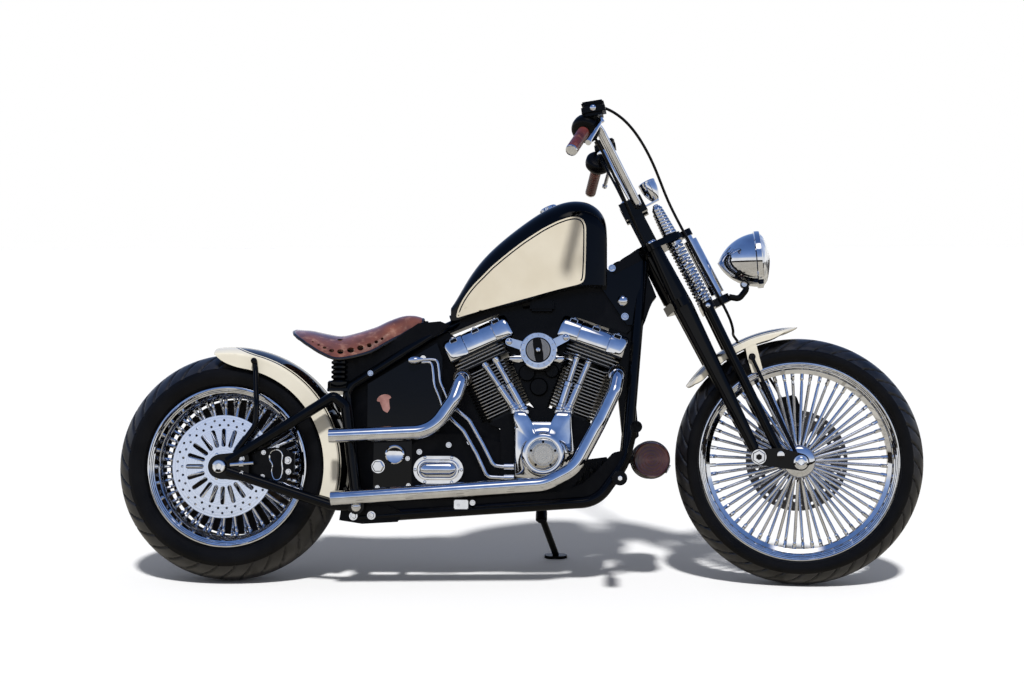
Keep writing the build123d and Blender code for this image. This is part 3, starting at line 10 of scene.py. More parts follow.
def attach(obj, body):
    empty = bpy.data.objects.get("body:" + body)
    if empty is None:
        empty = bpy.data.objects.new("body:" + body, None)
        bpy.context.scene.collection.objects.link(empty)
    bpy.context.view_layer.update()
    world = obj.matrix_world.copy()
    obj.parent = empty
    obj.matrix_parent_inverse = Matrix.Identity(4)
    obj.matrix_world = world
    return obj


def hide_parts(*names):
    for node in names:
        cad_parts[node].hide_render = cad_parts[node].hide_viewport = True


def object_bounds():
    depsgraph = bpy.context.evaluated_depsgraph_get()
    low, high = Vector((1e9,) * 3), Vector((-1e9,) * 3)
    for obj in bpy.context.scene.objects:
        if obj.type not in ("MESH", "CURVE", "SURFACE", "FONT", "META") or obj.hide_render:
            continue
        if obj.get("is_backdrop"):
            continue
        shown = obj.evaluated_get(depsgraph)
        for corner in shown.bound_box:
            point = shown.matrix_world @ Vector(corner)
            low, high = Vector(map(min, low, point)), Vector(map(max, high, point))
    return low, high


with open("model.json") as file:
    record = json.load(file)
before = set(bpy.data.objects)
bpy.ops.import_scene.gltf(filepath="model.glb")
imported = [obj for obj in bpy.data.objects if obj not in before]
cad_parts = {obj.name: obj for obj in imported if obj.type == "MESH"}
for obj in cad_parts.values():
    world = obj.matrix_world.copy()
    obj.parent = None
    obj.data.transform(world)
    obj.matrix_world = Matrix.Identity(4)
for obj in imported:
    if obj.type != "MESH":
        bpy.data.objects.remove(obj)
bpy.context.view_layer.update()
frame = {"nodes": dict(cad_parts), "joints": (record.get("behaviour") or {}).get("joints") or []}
parts = frame["nodes"]
hinges = {joint["name"]: joint for joint in frame["joints"]}

# ---------------------------------------------------------------- ground, sky, sun and camera
# A pale floor under a pale sky that turns blue overhead, a high sun in front of the machine's
# right side, and a dark hedge all round that only bright metal sees, as its thin horizon.


def linear(code):
    """Linear colour of an sRGB hex value."""
    channels = [int(code[i:i + 2], 16) / 255 for i in (1, 3, 5)]
    return (*(c / 12.92 if c <= 0.04045 else ((c + 0.055) / 1.055) ** 2.4 for c in channels), 1)


def add(tree, kind, stops=(), **feeds):
    """Adds a node with its settings, and values or links for its sockets; _2 is socket 2.

    A ramp's stops are pairs of a place and a hex colour."""
    made = tree.nodes.new(kind)
    for index, (place, code) in enumerate(stops):
        elements = made.color_ramp.elements
        element = elements[index] if index < len(elements) else elements.new(place)
        element.position, element.color = place, linear(code)
    for name, value in feeds.items():
        if hasattr(made, name):
            setattr(made, name, value)
            continue
        socket = made.inputs[int(name[1:]) if name[0] == "_" else name.replace("_", " ")]
        if isinstance(value, bpy.types.Node):
            value = value.outputs[0]
        if isinstance(value, bpy.types.NodeSocket):
            tree.links.new(value, socket)
        else:
            socket.default_value = value
    return made


scene = bpy.context.scene
scene.view_settings.view_transform = "Standard"
sky = bpy.data.worlds.new("sky")
scene.world = sky
sky.use_nodes = True
tree = sky.node_tree
tree.nodes.clear()
look = add(tree, "ShaderNodeTexCoord")
height = add(tree, "ShaderNodeSeparateXYZ", _0=look.outputs["Generated"])
SKY_STOPS = (
    (0.0, "#FFFFFF"), (0.585, "#FFFFFF"), (0.61, "#BCCDEC"), (0.65, "#93AEDF"),
    (0.73, "#7594CE"), (0.85, "#6082BC"), (1.0, "#4F6DA8"),
)
upward_share = add(tree, "ShaderNodeMapRange", Value=height.outputs["Z"], From_Min=-1.0)
blue = add(tree, "ShaderNodeValToRGB", SKY_STOPS, Fac=upward_share)
# The sun's own glare, 9 degrees across its bright middle and 30 to its edge.
SUN_WAY = Vector((-0.05, 0.62, -1.0)).normalized()
toward_sun = add(
    tree, "ShaderNodeVectorMath", operation="DOT_PRODUCT", _0=look.outputs["Generated"],
    _1=-SUN_WAY,
)
glare = add(
    tree, "ShaderNodeMapRange", interpolation_type="SMOOTHSTEP",
    Value=toward_sun.outputs["Value"], From_Min=0.965, From_Max=0.997, To_Max=2.5,
)
warm_glare = add(
    tree, "ShaderNodeMixRGB", blend_type="MULTIPLY", _0=1.0, _1=linear("#FFF6E6"), _2=glare
)
seen = add(tree, "ShaderNodeMixRGB", blend_type="ADD", _0=1.0, _1=blue, _2=warm_glare)
ray = add(tree, "ShaderNodeLightPath")
direct = add(
    tree, "ShaderNodeMath", operation="MAXIMUM", _0=ray.outputs["Is Camera Ray"],
    _1=ray.outputs["Is Glossy Ray"],
)
direct = add(
    tree, "ShaderNodeMath", operation="MAXIMUM", _0=direct,
    _1=ray.outputs["Is Transmission Ray"],
)
SKY_LIGHT = 0.26
add(
    tree, "ShaderNodeOutputWorld",
    Surface=add(
        tree, "ShaderNodeMixShader", _0=direct,
        _1=add(tree, "ShaderNodeBackground", Color=linear("#EEF3FF"), Strength=SKY_LIGHT),
        _2=add(tree, "ShaderNodeBackground", Color=seen, Strength=1.0),
    ),
)

sun_data = bpy.data.lights.new("sun", "SUN")
sun_data.energy = 3.25
sun_data.angle = math.radians(5)
sun = bpy.data.objects.new("sun", sun_data)
sun.rotation_mode = "QUATERNION"
sun.rotation_quaternion = SUN_WAY.to_track_quat("-Z", "Y")
sun.visible_glossy = False
scene.collection.objects.link(sun)


def surface(name):
    """A new material, its empty tree and the object's own coordinates in metres."""
    made = bpy.data.materials.new(name)
    made.use_nodes = True
    tree = made.node_tree
    tree.nodes.clear()
    return made, tree, add(tree, "ShaderNodeTexCoord").outputs["Object"]


def meshed(bm, name, *finishes):
    """Turns a drawing in metres into an object at the origin."""
    data = bpy.data.meshes.new(name)
    bm.to_mesh(data)
    bm.free()
    made = bpy.data.objects.new(name, data)
    scene.collection.objects.link(made)
    for finish in finishes:
        data.materials.append(finish)
    return made


# Pale screed, with a little tone in patches.
screed, tree, where = surface("pale_screed")
patches = add(tree, "ShaderNodeTexNoise", Vector=where, Scale=1.2, Detail=3.0)
tone = add(tree, "ShaderNodeValToRGB", ((0.0, "#FBFAF8"), (1.0, "#FEFDFC")), Fac=patches)
add(tree, "ShaderNodeOutputMaterial", Surface=add(
    tree, "ShaderNodeBsdfPrincipled", Base_Color=tone, Roughness=0.9, IOR=1.45
))
FLOOR_REACH, FLOOR_Z = 60.0, -0.0005
bm = bmesh.new()
bm.faces.new([
    bm.verts.new((x * FLOOR_REACH, y * FLOOR_REACH, FLOOR_Z))
    for x, y in ((-1, -1), (1, -1), (1, 1), (-1, 1))
])
floor = meshed(bm, "floor", screed)
floor.visible_diffuse = floor.visible_glossy = floor.visible_shadow = False
floor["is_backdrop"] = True

# The hedge: dry brown leaves, clipped level.
hedge_leaf, tree, where = surface("hedge_leaf")
leaves = add(tree, "ShaderNodeTexNoise", Vector=where, Scale=0.8, Detail=5.0)
tone = add(tree, "ShaderNodeValToRGB", ((0.35, "#100E0C"), (0.65, "#3A3128")), Fac=leaves)
add(tree, "ShaderNodeOutputMaterial", Surface=add(
    tree, "ShaderNodeBsdfPrincipled", Base_Color=tone, Roughness=0.9
))
HEDGE_R, HEDGE_HIGH = 9.0, 0.95


def circle(count, radius=1.0):
    """Points (x, y) evenly round a circle about the origin."""
    turns = [2 * math.pi * i / count for i in range(count)]
    return [(radius * math.cos(turn), radius * math.sin(turn)) for turn in turns]


ring = circle(72, HEDGE_R)
bm = bmesh.new()
for (x0, y0), (x1, y1) in zip(ring, ring[1:] + ring[:1]):
    bm.faces.new([
        bm.verts.new(corner) for corner in
        ((x0, y0, 0), (x0, y0, HEDGE_HIGH), (x1, y1, HEDGE_HIGH), (x1, y1, 0))
    ])
hedge = meshed(bm, "hedge", hedge_leaf)
hedge.visible_camera = hedge.visible_diffuse = hedge.visible_shadow = False
hedge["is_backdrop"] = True

# Stone paving under the screed, a shade deeper, that lights the undersides and shows in bright
# metal: slabs 0.6 m wide.
stone, tree, where = surface("paving_stone")
slabs = add(
    tree, "ShaderNodeTexBrick", Vector=where, Scale=1 / 0.6, Color1=linear("#D3CCBD"),
    Color2=linear("#C2BAAA"), Mortar=linear("#A39C8E"), Mortar_Size=0.02,
)
add(tree, "ShaderNodeOutputMaterial", Surface=add(
    tree, "ShaderNodeBsdfPrincipled", Base_Color=slabs, Roughness=0.9
))
PAVING_Z = -0.0012
bm = bmesh.new()
bm.faces.new([bm.verts.new((x, y, PAVING_Z)) for x, y in ring])
paving = meshed(bm, "paving", stone)
paving.visible_camera = paving.visible_shadow = False
paving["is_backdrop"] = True

# The camera stands off the right side, a little below the bars, and looks slightly down.
CAMERA_AT = (0.180078, -4.443921, 1.029975)
YAW, PITCH, ROLL = (math.radians(angle) for angle in (2.546, -4.462, 0.185))
camera_data = bpy.data.cameras.new("camera")
SENSOR_MM, FOCAL_PIXELS, WIDE_PIXELS = 36.0, 1506.69, 1024.0
camera_data.sensor_width = SENSOR_MM
camera_data.lens = SENSOR_MM * FOCAL_PIXELS / WIDE_PIXELS
camera = bpy.data.objects.new("camera", camera_data)
aim = (
    Matrix.Rotation(YAW, 3, "Z") @ Matrix.Rotation(PITCH, 3, "X") @ Matrix.Rotation(ROLL, 3, "Y")
)
camera.matrix_world = Matrix.Translation(CAMERA_AT) @ (
    aim @ Matrix.Rotation(math.radians(90), 3, "X")
).to_4x4()
scene.collection.objects.link(camera)
scene.camera = camera

# ---------------------------------------------------------------- tyres
# Wide rear and tall front tyre in black rubber: grooves sweep back over the shoulders, the walls
# carry moulded rings. They are drawn in millimetres about their axles.
MM = 0.001


def set_at(origin, x, y, z):
    """Frame with its own X, Y and Z directions at a point."""
    place = Matrix((x, y, z)).transposed().to_4x4()
    place.translation = origin
    return place


REAR_TYRE_R, FRONT_TYRE_R = 328.0, 351.0
left = Vector(hinges["rear_wheel_spin"]["axis"]).normalized()
rear_axle_at = Vector(hinges["rear_wheel_spin"]["pos_m"])
ahead = (Vector((1, 0, 0)) - left * left.x).normalized()
above = ahead.cross(left)
# The bike leans on its stand: X ahead, Y left, Z up, from the ground under the rear axle.
bike = set_at(rear_axle_at - above * REAR_TYRE_R * MM, ahead, left, above)
rear_wheel = set_at(rear_axle_at, ahead, left, above)
# The fork is turned about its stem: Z up the stem, X ahead of it.
stem = Vector(hinges["steering"]["axis"]).normalized()
fork_left = Vector(hinges["front_wheel_spin"]["axis"]).normalized()
fork_ahead = fork_left.cross(stem)
fork = set_at(bike @ Vector((1.7, 0, 0)), fork_ahead, fork_left, stem)
front_wheel = set_at(Vector(hinges["front_wheel_spin"]["pos_m"]), fork_ahead, fork_left, stem)


def built(bm, name, place, body, finish, replaces=(), soft_edge=32):
    """Turns a drawing in millimetres into a piece that rides on a body."""
    bmesh.ops.remove_doubles(bm, verts=bm.verts, dist=0.001)
    bmesh.ops.recalc_face_normals(bm, faces=bm.faces)
    bm.transform(place @ Matrix.Scale(MM, 4))
    piece = meshed(bm, name, *(finish if isinstance(finish, tuple) else (finish,)))
    softened(piece, soft_edge)
    if replaces:
        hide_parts(*replaces)
    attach(piece, body)
    return piece


def softened(piece, soft_edge=32):
    """Shades shallow edges round and keeps the others crisp."""
    for face in piece.data.polygons:
        face.use_smooth = True
    piece.modifiers.new("crisp_edges", "EDGE_SPLIT").split_angle = math.radians(soft_edge)


def arc(a, b, c, count):
    """Points on the circle through three points, from the first to the last."""
    (ax, ay), (bx, by), (cx, cy) = a, b, c
    twice = 2 * (ax * (by - cy) + bx * (cy - ay) + cx * (ay - by))
    squares = ax**2 + ay**2, bx**2 + by**2, cx**2 + cy**2
    ux = sum(s * d for s, d in zip(squares, (by - cy, cy - ay, ay - by))) / twice
    uy = sum(s * d for s, d in zip(squares, (cx - bx, ax - cx, bx - ax))) / twice
    start, mid, end = (math.atan2(y - uy, x - ux) for x, y in (a, b, c))
    sweep = (end - start) % (2 * math.pi)
    if (mid - start) % (2 * math.pi) > sweep:
        sweep -= 2 * math.pi
    radius = math.hypot(ax - ux, ay - uy)
    turns = [start + sweep * i / count for i in range(count + 1)]
    return [(ux + radius * math.cos(turn), uy + radius * math.sin(turn)) for turn in turns]


def patchy(name, tints, low, high, patches, relief=None, **values):
    """A finish whose tone and roughness go from one end to the other in patches.

    Patches are given by their size in mm and their detail, and a relief by its size in mm, its
    detail, strength and depth in mm."""
    made, tree, where = surface(name)
    wide, detail = patches
    patches = add(tree, "ShaderNodeTexNoise", Vector=where, Scale=1000 / wide, Detail=detail)
    tone = add(tree, "ShaderNodeValToRGB", tuple(zip((0.3, 0.7), tints)), Fac=patches)
    rough = add(tree, "ShaderNodeMapRange", Value=patches, To_Min=low, To_Max=high)
    if relief:
        wide, detail, strength, deep = relief
        grain = add(tree, "ShaderNodeTexNoise", Vector=where, Scale=1000 / wide, Detail=detail)
        values["Normal"] = add(
            tree, "ShaderNodeBump", Height=grain, Strength=strength, Distance=deep * MM
        )
    add(tree, "ShaderNodeOutputMaterial", Surface=add(
        tree, "ShaderNodeBsdfPrincipled", Base_Color=tone, Roughness=rough, **values
    ))
    return made


# Natural black rubber, moulded: dull, with a greyish bloom in patches and 0.8 mm grain.
rubber = patchy(
    "moulded_rubber", ("#040405", "#0E0E10"), 0.48, 0.66, (70, 5.0), (0.8, 3.0, 0.35, 0.3),
    Specular_IOR_Level=0.14, IOR=1.52,
)
# The tread is the same rubber scrubbed by the road: greyer, and smoother, so it takes a sheen.
scrubbed = patchy(
    "scrubbed_tread", ("#0B0B0C", "#232327"), 0.3, 0.46, (40, 5.0),
    Specular_IOR_Level=0.45, IOR=1.52,
)
TREAD_DEPTH = 4.6
# How far out from the crown the long and the short grooves start, as shares of the half width.
LONG_FROM, SHORT_FROM = 0.1, 0.34
# Half a groove's width at the crown, what it gains to the shoulder, and the run of its wall.
GROOVE_HALF, GROOVE_GAIN, GROOVE_WALL = 2.8, 2.0, 1.6
# Rings on the walls: place up the wall, height, half width as a share of the wall.
WALL_RINGS = ((0.16, 1.6, 0.05), (0.30, 0.8, 0.02), (0.80, 0.9, 0.025))


def joined(bm, rows, closed=True, caps=False, finish=0):
    """Faces between rows of vertices: closed rings or open strips, with end caps if asked."""
    for low, high in zip(rows, rows[1:]):
        for i in range(len(low) - (not closed)):
            j = (i + 1) % len(low)
            bm.faces.new((low[i], low[j], high[j], high[i])).material_index = finish
    if caps:
        bm.faces.new(rows[0][::-1]).material_index = finish
        bm.faces.new(rows[-1]).material_index = finish


def tyre(name, node, place, body, tyre_r, width, crown_r, rim_r, bead_y, grooves, sweep, steps):
    """One tyre, walls and beads, with its grooves cut in alternate long and short ones."""
    half = width / 2
    shoulder_y = half - 7
    shoulder_r = tyre_r - crown_r + math.sqrt(max(crown_r**2 - shoulder_y**2, 0))
    bulge_r = (shoulder_r + rim_r) / 2 + 4
    crown = arc((shoulder_r, -shoulder_y), (tyre_r, 0), (shoulder_r, shoulder_y), 44)
    wall = arc((shoulder_r, shoulder_y), (bulge_r, half), (rim_r + 1, bead_y + 5), 20)[1:]
    wall += [(rim_r - 11, bead_y), (rim_r - 11, bead_y - 8)]
    section = [(r, -y) for r, y in reversed(wall)] + crown + wall
    pitch = 2 * math.pi / grooves
    bm = bmesh.new()
    rings = []
    for i in range(steps):
        angle = 2 * math.pi * i / steps
        ring = []
        for r, y in section:
            reach = abs(y) / half
            depth = 0.0
            if r > shoulder_r - 3 and reach < 0.96:
                phase = (angle + (pitch / 2 if y > 0 else 0) - sweep * reach * reach) / pitch
                off = abs(phase - round(phase)) * pitch * r
                if reach > (SHORT_FROM if round(phase) % 2 else LONG_FROM):
                    inside = (GROOVE_HALF + GROOVE_GAIN * reach - off) / GROOVE_WALL
                    depth = TREAD_DEPTH * max(0, min(1, inside))
            up_wall = (r - rim_r) / (shoulder_r - rim_r)
            if r < shoulder_r - 2 and abs(y) > bead_y - 2:
                for at, high, wide in WALL_RINGS:
                    if abs(up_wall - at) < wide:
                        depth = -high
            away = Vector((r - bulge_r, y)).normalized()
            r, y = r - depth * away.x, y - depth * away.y
            ring.append(bm.verts.new((r * math.cos(angle), y, r * math.sin(angle))))
        rings.append(ring)
    for low, high in zip(rings, rings[1:] + rings[:1]):
        for i in range(len(section) - 1):
            face = bm.faces.new((low[i], low[i + 1], high[i + 1], high[i]))
            face.material_index = 1 if section[i][0] > shoulder_r - 2 else 0
    built(bm, name, place, body, (rubber, scrubbed), (node,), 75)


tyre(
    "rear_tyre_tread", "rear_tyre", rear_wheel, "rear_wheel", REAR_TYRE_R, 180, 100, 230, 66.5,
    34, 0.24, 680,
)
tyre(
    "front_tyre_tread", "front_tyre", front_wheel, "front_wheel", FRONT_TYRE_R, 120, 60, 283,
    31.5, 40, 0.22, 720,
)

# ---------------------------------------------------------------- rims, hubs, spokes, nipples
# Rolled steel rims laced with fat spokes to turned hubs, all plated; a hexagon nipple sits where
# each spoke meets its rim, and bolts hold the discs.


RIGHT, LEFT = (0, -1, 0), (0, 1, 0)


# Bright plating: a mirror, with handling haze and a faint ripple, both 30 mm wide.
chrome = patchy(
    "chrome_plate", ("#DFE1E5", "#CBCDD2"), 0.015, 0.05, (30, 4.0), (30, 1.0, 0.25, 0.4),
    Metallic=1.0,
)


def painted(name, *nodes):
    """Gives CAD pieces their finish."""
    for node in nodes:
        parts[node].data.materials.clear()
        parts[node].data.materials.append(name)
        softened(parts[node])


painted(chrome, "rear_axle", "front_axle")


def facing(at, direction):
    """Frame at a point whose Z runs along a direction."""
    z = Vector(direction).normalized()
    x = (Vector((0, 0, 1)) if abs(z.z) < 0.9 else Vector((1, 0, 0))).cross(z).normalized()
    return set_at(Vector(at), x, z.cross(x), z)


def turned(bm, at, direction, section, sides=48, finish=0):
    """Turned shape from (radius, height) pairs along a direction: a solid, or a closed ring."""
    place = facing(at, direction)
    rings = []
    for radius, high in section:
        count = sides if radius > 1e-6 else 1
        rings.append([
            bm.verts.new(place @ Vector((x, y, high))) for x, y in circle(sides, radius)[:count]
        ])
    for low, high in zip(rings, rings[1:]):
        for i in range(sides):
            j = (i + 1) % sides
            corners = tuple(dict.fromkeys((
                low[i % len(low)], low[j % len(low)], high[j % len(high)], high[i % len(high)]
            )))
            if len(corners) > 2:
                bm.faces.new(corners).material_index = finish
    for ring, ends in ((rings[0], -1), (rings[-1], 1)):
        if len(ring) > 2 and section[0] != section[-1]:
            bm.faces.new(ring if ends > 0 else ring[::-1]).material_index = finish


def fastener_tree():
    """Sets a fastener at each point, facing as the point says and as large as it says."""
    tree = bpy.data.node_groups.new("fasteners", "GeometryNodeTree")
    for name, kind in (
        ("Geometry", "NodeSocketGeometry"), ("Fastener", "NodeSocketObject"),
        ("Finish", "NodeSocketMaterial"),
    ):
        tree.interface.new_socket(name, in_out="INPUT", socket_type=kind)
    tree.interface.new_socket("Geometry", in_out="OUTPUT", socket_type="NodeSocketGeometry")
    given = add(tree, "NodeGroupInput")
    pattern = add(tree, "GeometryNodeObjectInfo", Object=given.outputs["Fastener"])
    points = add(tree, "GeometryNodeMeshToPoints", _0=given.outputs["Geometry"])
    way = add(tree, "GeometryNodeInputNamedAttribute", data_type="FLOAT_VECTOR", Name="facing")
    size = add(tree, "GeometryNodeInputNamedAttribute", data_type="FLOAT", Name="size")
    turn = add(tree, "FunctionNodeAlignRotationToVector", axis="Z", Vector=way)
    placed = add(
        tree, "GeometryNodeInstanceOnPoints", Points=points,
        Instance=pattern.outputs["Geometry"], Rotation=turn, Scale=size,
    )
    solid = add(tree, "GeometryNodeRealizeInstances", _0=placed)
    done = add(tree, "GeometryNodeSetMaterial", _0=solid, Material=given.outputs["Finish"])
    add(tree, "NodeGroupOutput", _0=done)
    return tree


FASTENERS = fastener_tree()
# One of each fastener at 1 mm radius: a hexagon head on its washer, a socket button, a spoke's
# nipple and a plain dome.
PATTERNS = {
    "hexagon": (
        (((0, 0), (1.32, 0), (1.32, 0.18), (0, 0.18)), 18),
        (((0, 0.1), (1, 0.1), (1, 0.82), (0.86, 0.95), (0.5, 0.95), (0.42, 0.8), (0, 0.8)), 6),
    ),
    "button": (
        (((0, 0), (1.05, 0), (1.0, 0.4), (0.8, 0.62), (0.5, 0.66), (0.46, 0.3), (0, 0.3)), 16),
    ),
    "nipple": (
        (((0, -2.2), (0.8, -2.2), (1, -1.8), (1, 1.2), (0.8, 1.8), (0.62, 2.2), (0, 2.2)), 8),
    ),
    "dome": (
        (((0, 0), (1, 0), (1, 0.14), (0.92, 0.36), (0.7, 0.56), (0.4, 0.68), (0, 0.72)), 28),
    ),
}
pattern_objects = {}
for kind, shapes in PATTERNS.items():
    bm = bmesh.new()
    for section, sides in shapes:
        turned(bm, (0, 0, 0), (0, 0, 1), section, sides)
    bm.transform(Matrix.Scale(MM, 4))
    pattern_objects[kind] = meshed(bm, "pattern_" + kind)


def fastened(name, body, place, kind, spots, finish=None):
    """Fasteners at (point, direction, radius in mm), as one mesh on a body."""
    data = bpy.data.meshes.new(name)
    data.from_pydata([place @ (Vector(at) * MM) for at, _, _ in spots], [], [])
    turn = place.to_3x3()
    ways = [part for _, direction, _ in spots for part in turn @ Vector(direction)]
    data.attributes.new("facing", "FLOAT_VECTOR", "POINT").data.foreach_set("vector", ways)
    sizes = [radius for _, _, radius in spots]
    data.attributes.new("size", "FLOAT", "POINT").data.foreach_set("value", sizes)
    source = bpy.data.objects.new(name + "_points", data)
    scene.collection.objects.link(source)
    step = source.modifiers.new("fasteners", "NODES")
    step.node_group = FASTENERS
    inputs = {
        item.name: item.identifier for item in FASTENERS.interface.items_tree
        if item.in_out == "INPUT"
    }
    step[inputs["Fastener"]] = pattern_objects[kind]
    step[inputs["Finish"]] = finish or chrome
    graph = bpy.context.evaluated_depsgraph_get()
    solid = bpy.data.meshes.new_from_object(source.evaluated_get(graph), depsgraph=graph)
    bpy.data.objects.remove(source)
    piece = bpy.data.objects.new(name, solid)
    scene.collection.objects.link(piece)
    softened(piece)
    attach(piece, body)
    return piece


def around(radius, y, count, direction, size, at=(0, 0)):
    """Spots on a circle about a place, at a distance to the left."""
    return [((at[0] + x, y, at[1] + z), direction, size) for x, z in circle(count, radius)]


SPOKES_A_SIDE = 30
half_pitch = math.pi / SPOKES_A_SIDE


def rim(name, node, place, body, rim_r, half, well_r):
    """Rolled rim: stepped lips, a bead seat and a dropped well that the spokes pull on."""
    seat_r = rim_r - 13
    face = [
        (rim_r, half - 4), (rim_r, half - 0.6), (rim_r - 1.5, half), (rim_r - 4, half),
        (rim_r - 6, half - 2), (rim_r - 8.5, half - 2.4), (rim_r - 10, half - 5),
        (rim_r - 12.5, half - 5.6), (rim_r - 14, half - 9), (rim_r - 17, half - 10),
        (seat_r - 7, half * 0.62), (seat_r - 8, half * 0.44), (seat_r - 11, half * 0.40),
        (well_r, half * 0.30),
    ]
    inside = [
        (well_r + 6, half * 0.26), (seat_r - 1, half * 0.40), (seat_r, half - 10),
        (rim_r, half - 4),
    ]
    section = face + [(r, -y) for r, y in reversed(face)]
    section += [(r, -y) for r, y in reversed(inside[:-1])] + inside
    bm = bmesh.new()
    turned(bm, (0, 0, 0), LEFT, section, 180)
    built(bm, name, place, body, chrome, (node,), 24)


def hub_and_spokes(name, node, place, body, profile, bore_r, root, tip):
    """Turned hub, and two rows of fat spokes with necks at both ends."""
    bm = bmesh.new()
    (_, foot), (_, head) = profile[0], profile[-1]
    section = [(bore_r, foot), *profile[1:-1], (bore_r, head), (bore_r, foot)]
    turned(bm, (0, 0, 0), LEFT, section, 96)
    built(bm, name + "_turned_hub", place, body, chrome, (node,), 26)
    (root_r, root_y), (tip_r, tip_y) = root, tip
    run = math.hypot(tip_r - root_r, root_y - tip_y)
    bm = bmesh.new()
    turned(bm, (0, 0, 0), (0, 0, 1), [
        (0, 0), (3.2, 0), (3.2, 5), (4.2, 9), (4.5, 30), (4.5, run - 34), (4.1, run - 22),
        (2.6, run - 17), (2.6, run - 1), (0, run - 1),
    ], 12)
    bm.transform(Matrix.Scale(MM, 4))
    pattern_objects[name] = meshed(bm, "pattern_" + name)
    spokes, nipples = [], []
    for i in range(2 * SPOKES_A_SIDE):
        turn = i * half_pitch
        side = 1 if i % 2 else -1
        out = Vector((math.cos(turn), 0, math.sin(turn)))
        start = out * root_r + Vector((0, side * root_y, 0))
        end = out * tip_r + Vector((0, side * tip_y, 0))
        spokes.append((start, end - start, 1.0))
        nipples.append((end - (end - start).normalized() * 9, start - end, 5.4))
    fastened(name + "_spokes", body, place, name, spokes)
    fastened(name + "_nipples", body, place, "nipple", nipples)


rim("rolled_rear_rim", "rear_rim", rear_wheel, "rear_wheel", 230, 77, 200)
rim("rolled_front_rim", "front_rim", front_wheel, "front_wheel", 283, 42, 251)
hub_and_spokes("rear", "rear_hub", rear_wheel, "rear_wheel", [
    (0, -112), (42, -112), (42, -100), (33, -90), (33, -62), (50, -59), (52, -56), (52, -50),
    (50, -47), (36, -42), (36, 42), (50, 47), (52, 50), (52, 56), (50, 59), (33, 62), (33, 88),
    (46, 96), (46, 104), (0, 104),
], 12.5, (46, 53), (199.5, 14))
hub_and_spokes("front", "front_hub", front_wheel, "front_wheel", [
    (0, -68), (21, -68), (23, -66.5), (24, -63), (28, -62.5), (36, -60.6), (42, -58), (45, -55),
    (47, -50), (47, -34), (34, -26), (34, 26), (47, 34), (47, 46), (40, 50), (40, 56), (0, 56),
], 12.5, (42, 40), (250.6, 8))

# ---------------------------------------------------------------- brake discs, pulley and belt
# Ground steel discs with drilled and slotted faces, a toothed belt pulley of polished alloy and
# its rubber belt. Grinding leaves fine rings round the axle.


def undone(place):
    """Settings of a mapping that takes an object's coordinates into a frame."""
    back = place.inverted()
    return {"Location": back.to_translation(), "Rotation": back.to_euler()}


def ground(name, place, tint, dark_tint, low, high, ring_mm):
    """Metal faced in a lathe or grinder: fine rings about an axis, some darker than others."""
    made, tree, where = surface(name)
    local = add(tree, "ShaderNodeMapping", Vector=where, **undone(place))
    split = add(tree, "ShaderNodeSeparateXYZ", _0=local)
    flat = add(tree, "ShaderNodeCombineXYZ", X=split.outputs["X"], Y=split.outputs["Z"])
    reach = add(tree, "ShaderNodeVectorMath", operation="LENGTH", _0=flat)
    rings = add(
        tree, "ShaderNodeTexNoise", noise_dimensions="1D", W=reach.outputs["Value"],
        Scale=1000 / ring_mm, Detail=3.0,
    )
    add(tree, "ShaderNodeOutputMaterial", Surface=add(
        tree, "ShaderNodeBsdfPrincipled", Metallic=1.0,
        Base_Color=add(tree, "ShaderNodeValToRGB", ((0.3, tint), (0.7, dark_tint)), Fac=rings),
        Roughness=add(tree, "ShaderNodeMapRange", Value=rings, To_Min=low, To_Max=high),
        Normal=add(tree, "ShaderNodeBump", Height=rings, Strength=0.3, Distance=0.0002),
    ))
    return made


# The rear disc's steel is tinted pale blue: a painted reflection of the sky.
painted(ground("rear_disc_steel_painted_sky_blue", rear_wheel, "#D9E0EE", "#C4CDDF", 0.10, 0.18, 2.0), "rear_disc")
painted(
    ground("ground_front_disc", front_wheel, "#66625E", "#454240", 0.2, 0.36, 2.0), "front_disc"
)
painted(ground("polished_pulley", rear_wheel, "#D5D6D8", "#B9BABD", 0.1, 0.2, 3.0), "rear_pulley")
painted(rubber, "drive_belt")
# A thin dark dished disc between the left spokes and the pulley: painted shade, a dark sheet
# that fills the gaps between the rear spokes.
spoke_gap_shade = patchy(
    "painted_spoke_gap_shade", ("#14100D", "#2C241D"), 0.4, 0.6, (30, 5.0), Specular_IOR_Level=0.2, IOR=1.5
)
bm = bmesh.new()
turned(bm, (0, 0, 0), LEFT, [
    (54, 66), (90, 64), (150, 61), (198, 58), (199, 59.5), (198, 61), (150, 64), (90, 67),
    (54, 69), (54, 66),
], 120)
built(bm, "pulley_dust_shield", rear_wheel, "rear_wheel", spoke_gap_shade)
fastened("rear_disc_bolts", "rear_wheel", rear_wheel, "button", around(38, -117, 6, RIGHT, 5))
fastened("front_disc_bolts", "front_wheel", front_wheel, "button", around(36, 61, 6, LEFT, 5))
fastened("pulley_bolts", "rear_wheel", rear_wheel, "hexagon", around(44, 127.8, 5, LEFT, 7))

# ---------------------------------------------------------------- main frame, swingarm and axle
# Welded steel tube under deep black enamel. The gusset, rails and axle plates carry plated
# bolts, and a plated dome closes the gusset's spacer.


def enamelled(name, tint, deep_tint, low=0.03, high=0.07, shine=0.5):
    """Stoved enamel under clear coat: deep and wet, with 12 mm orange peel and hazy patches."""
    return patchy(
        name, (tint, deep_tint), low, high, (90, 3.0), (12, 2.0, 0.08, 0.4),
        Specular_IOR_Level=shine, IOR=1.5,
    )


black_enamel = enamelled("black_enamel", "#030408", "#020305", shine=0.16)
painted(black_enamel, "frame", "swingarm")


def both_sides(spots):
    """Spots on the right side and their mirror images on the left."""
    return spots + [
        ((x, -y, z), (dx, -dy, dz), size) for (x, y, z), (dx, dy, dz), size in spots
    ]


